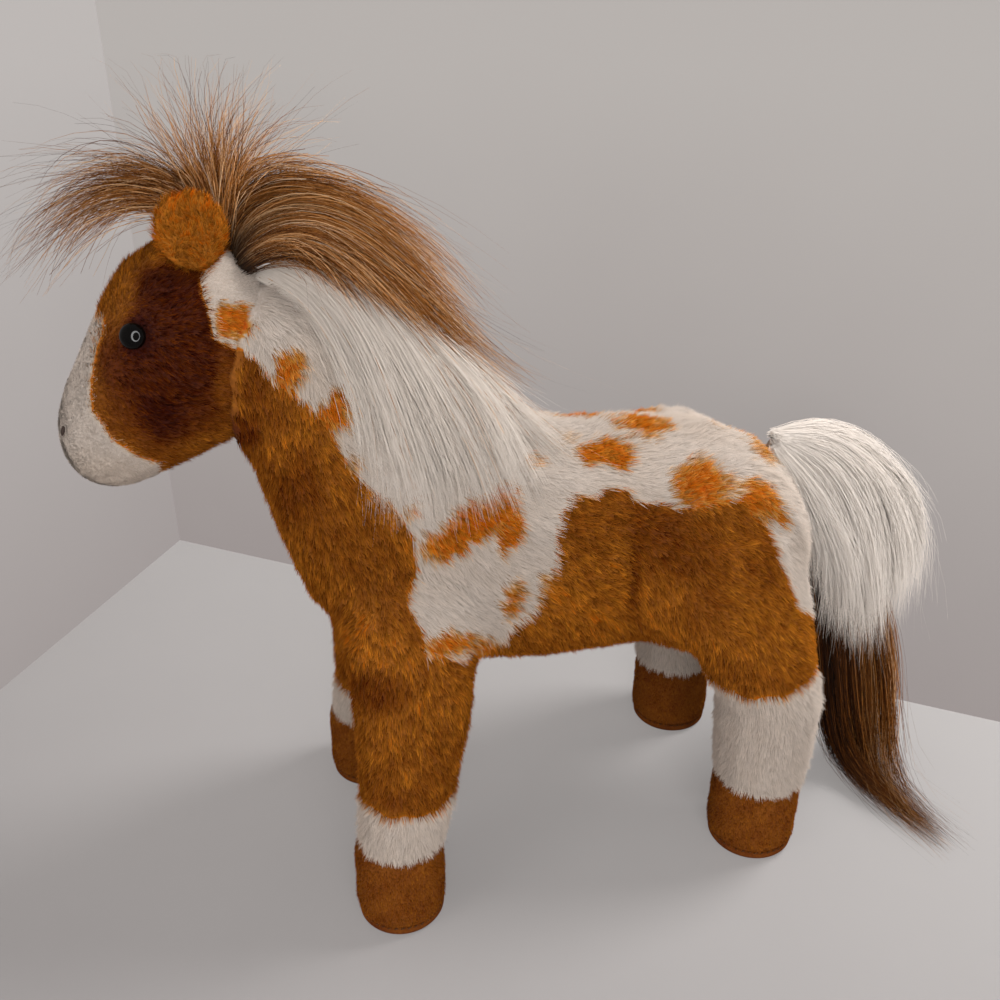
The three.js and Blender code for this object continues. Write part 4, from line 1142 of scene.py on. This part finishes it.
FORELOCK_GUIDES = (
    ((209, 246, 4), (186, 216, 6), (146, 204, 8), (104, 212, 9), (62, 246, 10), (20, 304, 10)),
    ((210, 244, 0), (192, 208, 0), (150, 188, 0), (102, 194, -2), (54, 226, -4), (10, 284, -6)),
    ((211, 242, -4), (192, 198, -6), (150, 168, -8), (104, 162, -12), (66, 174, -14), (38, 200, -16)),
    ((213, 240, 0), (192, 192, 0), (160, 152, 2), (124, 126, 4), (92, 112, 6)),
    ((215, 240, 2), (202, 186, 2), (178, 140, 2), (160, 106, 2), (148, 78, 2)),
    ((218, 240, 0), (213, 182, 0), (206, 138, 0), (202, 102, -2), (208, 74, -2)),
    ((221, 240, -2), (227, 184, -4), (234, 146, -6), (248, 116, -8), (268, 92, -10)),
    ((223, 242, -4), (231, 192, -6), (248, 154, -8), (276, 128, -10), (312, 114, -12)),
    ((225, 244, -6), (234, 202, -8), (262, 170, -10), (302, 150, -12), (348, 142, -14)),
)
TUFT_GUIDES = (
    ((226, 250, -8), (226, 196, -8), (252, 160, -10), (303, 156, -12), (360, 178, -12), (420, 214, -10),
     (470, 268, -8)),
    ((230, 256, -6), (234, 208, -8), (266, 182, -10), (322, 184, -10), (380, 212, -8), (436, 262, -6),
     (470, 310, -4)),
    ((234, 262, -2), (240, 226, -2), (280, 202, -2), (334, 206, 0), (388, 240, 2), (438, 296, 4),
     (482, 354, 6)),
    ((238, 266, 2), (248, 240, 4), (292, 222, 6), (342, 232, 8), (390, 272, 10), (436, 322, 10),
     (500, 384, 8), (556, 412, 6)),
    ((240, 268, 6), (258, 246, 10), (300, 236, 14), (346, 262, 18), (388, 304, 21), (424, 344, 24)),
    ((242, 270, 10), (266, 256, 15), (304, 252, 20), (340, 284, 25), (370, 322, 28)),
)
MANE_GUIDES = (
    ((258, 280, 8), (282, 288, 13), (312, 318, 21), (334, 356, 27), (350, 400, 31)),
    ((268, 272, 7), (308, 296, 16), (346, 354, 27), (372, 424, 36), (386, 482, 42), (378, 535, 46)),
    ((288, 259, 5), (338, 291, 17), (379, 360, 32), (405, 431, 43), (424, 486, 49), (438, 530, 52)),
    ((312, 254, 4), (366, 298, 16), (412, 368, 32), (444, 438, 44), (462, 486, 52), (456, 528, 56)),
    ((328, 258, 2), (384, 306, 12), (432, 368, 26), (468, 428, 38), (490, 474, 48), (510, 518, 54)),
    ((342, 266, 0), (404, 318, 8), (452, 366, 16), (492, 408, 26), (512, 464, 36), (536, 528, 44)),
    ((356, 274, -2), (420, 322, 0), (468, 360, 4), (514, 396, 8), (548, 414, 12), (584, 428, 18)),
)
TAIL_WHITE_GUIDES = (
    ((774, 452, 6), (796, 488, 14), (810, 520, 18), (818, 550, 20), (818, 582, 22)),
    ((778, 446, 4), (808, 482, 14), (828, 528, 20), (838, 574, 22), (838, 622, 24)),
    ((780, 440, 2), (822, 464, 10), (848, 518, 16), (856, 580, 20), (856, 648, 22)),
    ((778, 436, 0), (826, 442, 4), (864, 480, 8), (878, 540, 10), (878, 634, 14)),
    ((776, 436, -4), (820, 430, -4), (860, 448, -4), (892, 486, -2), (905, 536, 0), (896, 604, 2)),
    ((776, 436, -8), (824, 428, -10), (868, 448, -12), (902, 490, -12), (914, 540, -10), (908, 590, -8)),
)
TAIL_BROWN_GUIDES = (
    ((790, 470, 4), (806, 540, 8), (814, 620, 12), (822, 700, 18),
     (834, 756, 0, 14), (868, 794, 0, 7), (914, 824, 0, 4), (958, 858, 0, 2)),
    ((792, 468, 2), (822, 560, 8), (838, 640, 14), (842, 704, 20),
     (854, 754, 0, 15), (880, 792, 0, 8), (916, 820, 0, 4), (945, 845, 0, 2)),
    ((794, 466, 0), (842, 560, 4), (862, 640, 10), (866, 710, 18),
     (870, 756, 0, 14), (888, 792, 0, 8), (920, 818, 0, 4), (950, 848, 0, 2)),
    ((796, 464, -4), (866, 560, -2), (890, 640, 4), (892, 704, 14),
     (886, 756, 0, 14), (896, 794, 0, 8), (924, 822, 0, 4), (944, 842, 0, 2)),
)


def hair_tone(first, rise, vary):
    """Tones that rise from the first guide to the last and vary from hair to hair."""
    return lambda place, rng: first + rise * place + vary * rng.normal(size=len(place))


def mane_tone(place, rng):
    tone = 0.955 - np.abs(rng.normal(size=len(place))) * 0.012
    return np.where(rng.random(len(place)) < 0.01 + 0.03 * place, 0.6, tone)


def tail_tone(place, rng):
    return 0.99 - np.abs(rng.normal(size=len(place))) * 0.02


def make_hair(tree):
    """The long hair. The mane is draped on the body's surface."""
    forelock = hair("forelock_hair", FORELOCK_GUIDES, 3000, 201, hair_tone(0.55, 0, 0.11), (7, 6, 6), 0.23,
                    (-5, 0, -15), "brown_hair", loose=0.4, shortest=0.25, wave=4.5,
                    shares=(6, 4, 1.8, 1.8, 3, 2.6, 2.5, 2), thin=2.2)
    dress(forelock, "head", "brown_hair", "forelock")
    tuft = hair("mane_tuft_hair", TUFT_GUIDES, 3300, 202, hair_tone(0.6, 0, 0.11), (6, 5, 4.5), 0.25,
                (-15, 0, -25), "brown_hair", steps=11, clumps=6, gather=0.7, loose=0.3, tree=tree,
                clear=2.0, shortest=0.35, wave=3.8, shares=(0.7, 3, 4.5, 3.6, 2.2), thin=1.7)
    dress(tuft, "body", "brown_hair", "mane_tuft")
    mane = hair("white_mane_hair", MANE_GUIDES, 10500, 203, mane_tone, (4, 4, 4), 0.27, (-60, 0, -35),
                "white_hair", clumps=4, gather=0.5, loose=0.08, wave=2.2, tree=tree, shortest=0.55,
                soft=0.95, thin=1.2)
    dress(mane, "body", "white_hair", "white_mane")
    white = hair("tail_white_hair", TAIL_WHITE_GUIDES, 8500, 204, tail_tone, (6, 4.5, 3.5), 0.28,
                 (-50, -10, -40), "white_hair", gather=0.45, soft=0.92, wave=2.8)
    dress(white, "tail", "white_hair", "tail_white")
    brown = hair("tail_brown_hair", TAIL_BROWN_GUIDES, 2800, 205, hair_tone(0.17, 0.32, 0.12), (5, 4, 3),
                 0.32, (-8, -4, 0), "tail_hair", steps=12, gather=0.45, wave=2.4)
    dress(brown, "tail", "brown_hair", "tail_brown")


def make_dock():
    """The root of the tail, under the hair."""
    dock = grown(["tail_dock"], 1.2 * MM, 6)
    piece = skin("tail_dock_skin", dock, lambda points: np.full(len(points), WHITE - 0.02))
    dress([piece], "tail_root", "white_hair", "tail_dock", fill=0.8)


# Floor, walls and lamps

# The length over which a wall or the floor changes colour, as painted light and shade.
FADE = 0.42
WALL_HEIGHT = 1.2


def stage_plane(name, corners, look):
    thing = new_object(name, corners, [[0, 1, 2, 3]])
    thing.visible_shadow = False
    thing.data.materials.append(look)


def mixed(tree, share, one, other):
    """Two shaders mixed as the material's own."""
    blend = node(tree, "ShaderNodeMixShader", {0: share, 1: one, 2: other})[0]
    feed(tree, tree.nodes["Material Output"], {0: blend})


def backdrop_look(name, near, far, way, start, own):
    """A pale surface that goes from one colour to another along a way, as painted light and shade, and
    partly shows its colour as it is."""
    material, tree, principled = shader(name, 0.9, 0.05)
    place = node(tree, "ShaderNodeTexCoord", {})["Object"]
    along = node(tree, "ShaderNodeVectorMath", {0: place, 1: way}, operation="DOT_PRODUCT")["Value"]
    reach = {"Value": along, "From Min": start, "From Max": start + FADE}
    share = node(tree, "ShaderNodeMapRange", reach)[0]
    mottle = math_node(tree, "MULTIPLY_ADD", noise_node(tree, place, 8.0), 0.16, share)
    colour = colour_ramp(tree, mottle, ((0.08, near), (1.0, far)))
    feed(tree, principled, {"Base Color": colour})
    rays = node(tree, "ShaderNodeLightPath", {})
    seen_rays = math_node(tree, "MAXIMUM", rays["Is Camera Ray"], rays["Is Glossy Ray"])
    plain = node(tree, "ShaderNodeEmission", {0: colour})[0]
    mixed(tree, math_node(tree, "MULTIPLY", seen_rays, own), principled.outputs[0], plain)
    return material


def wall_look(name, low, high):
    """A wall that is looked through from behind."""
    material = backdrop_look(name, low, high, (0, 0, 1), 0, 0.85)
    tree = material.node_tree
    front = tree.nodes["Material Output"].inputs[0].links[0].from_socket
    clear = node(tree, "ShaderNodeBsdfTransparent", {})[0]
    mixed(tree, node(tree, "ShaderNodeNewGeometry", {})["Backfacing"], front, clear)
    return material


def make_stage():
    """A pale floor with two walls that meet behind the horse."""
    corner = seen(180, 540, z=0.0)
    left = corner + (seen(0, 690, z=0.0) - corner) * 6
    right = corner + (seen(1000, 722, z=0.0) - corner) * 3
    high = np.array([0, 0, WALL_HEIGHT])
    out = unit(np.cross(right - corner, high))
    # Painted shade: the walls are darker at their foot, and the floor darker away from the right wall.
    left_wall = wall_look("left_wall", (0.372, 0.336, 0.328), (0.5, 0.47, 0.455))
    right_wall = wall_look("right_wall", (0.35, 0.312, 0.304), (0.48, 0.45, 0.43))
    floor = backdrop_look("floor", (0.5, 0.478, 0.468), (0.372, 0.35, 0.345), tuple(out),
                          float(out @ corner), 0.45)
    stage_plane("wall_left", (left, corner, corner + high, left + high), left_wall)
    stage_plane("wall_right", (corner, right, right + high, corner + high), right_wall)
    stage_plane("floor", (corner, left, left + right - corner, right), floor)


def area_lamp(name, place, aim, size, power):
    data = bpy.data.lights.new(name, "AREA")
    data.shape = "DISK"
    data.size = size
    data.energy = power
    lamp = placed(name, data)
    lamp.visible_glossy = False
    aimed(lamp, place, Vector(aim) - Vector(place))


def ring_lamp(radius, width, power, around=48):
    """A ring round the camera that shows only in gloss, as the small ring in the eye."""
    points, faces = [], []
    for k, (x, y) in enumerate(circle(around)):
        out = RIGHT * x + UP * y
        points += [EYE_POINT + out * radius, EYE_POINT + out * (radius + width)]
        after = (k + 1) % around
        faces.append([2 * k, 2 * k + 1, 2 * after + 1, 2 * after])
    ring = new_object("ring_lamp", points, faces)
    material, tree, _ = shader("ring_lamp", 0.5)
    glow = node(tree, "ShaderNodeEmission", {1: power})[0]
    feed(tree, tree.nodes["Material Output"], {0: glow})
    ring.data.materials.append(material)
    ring.visible_diffuse = False
    ring.visible_camera = False
    ring.visible_shadow = False


def make_light():
    world = bpy.data.worlds.new("world")
    world.use_nodes = True
    feed(world.node_tree, world.node_tree.nodes["Background"], {0: (1.0, 0.985, 0.97, 1), 1: 0.52})
    bpy.context.scene.world = world
    area_lamp("key_lamp", (-0.05, 0.7, 1.05), (0, 0, 0.12), 0.4, 11.0)
    area_lamp("front_lamp", (0.95, -0.1, 0.45), (0, 0.02, 0.15), 0.6, 5.0)
    area_lamp("left_lamp", (0.45, -0.95, 0.45), (0, 0, 0.15), 0.5, 2.7)
    ring_lamp(0.2, 0.07, 26.0)
    bpy.context.scene.view_settings.view_transform = "Standard"


def main():
    make_camera()
    make_light()
    make_stage()
    whole = make_body()
    head = make_head()
    for side in SIDES:
        make_eye(side)
        make_nostril(side, head.tree())
        make_ear(side)
        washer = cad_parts[f"{side}_eye_washer"].data.materials
        washer.clear()
        washer.append(LOOKS["washer"])
    for number, leg in enumerate(LEGS):
        make_hoof(leg, number)
        make_sole(leg)
    make_dock()
    make_hair(whole.tree())


main()
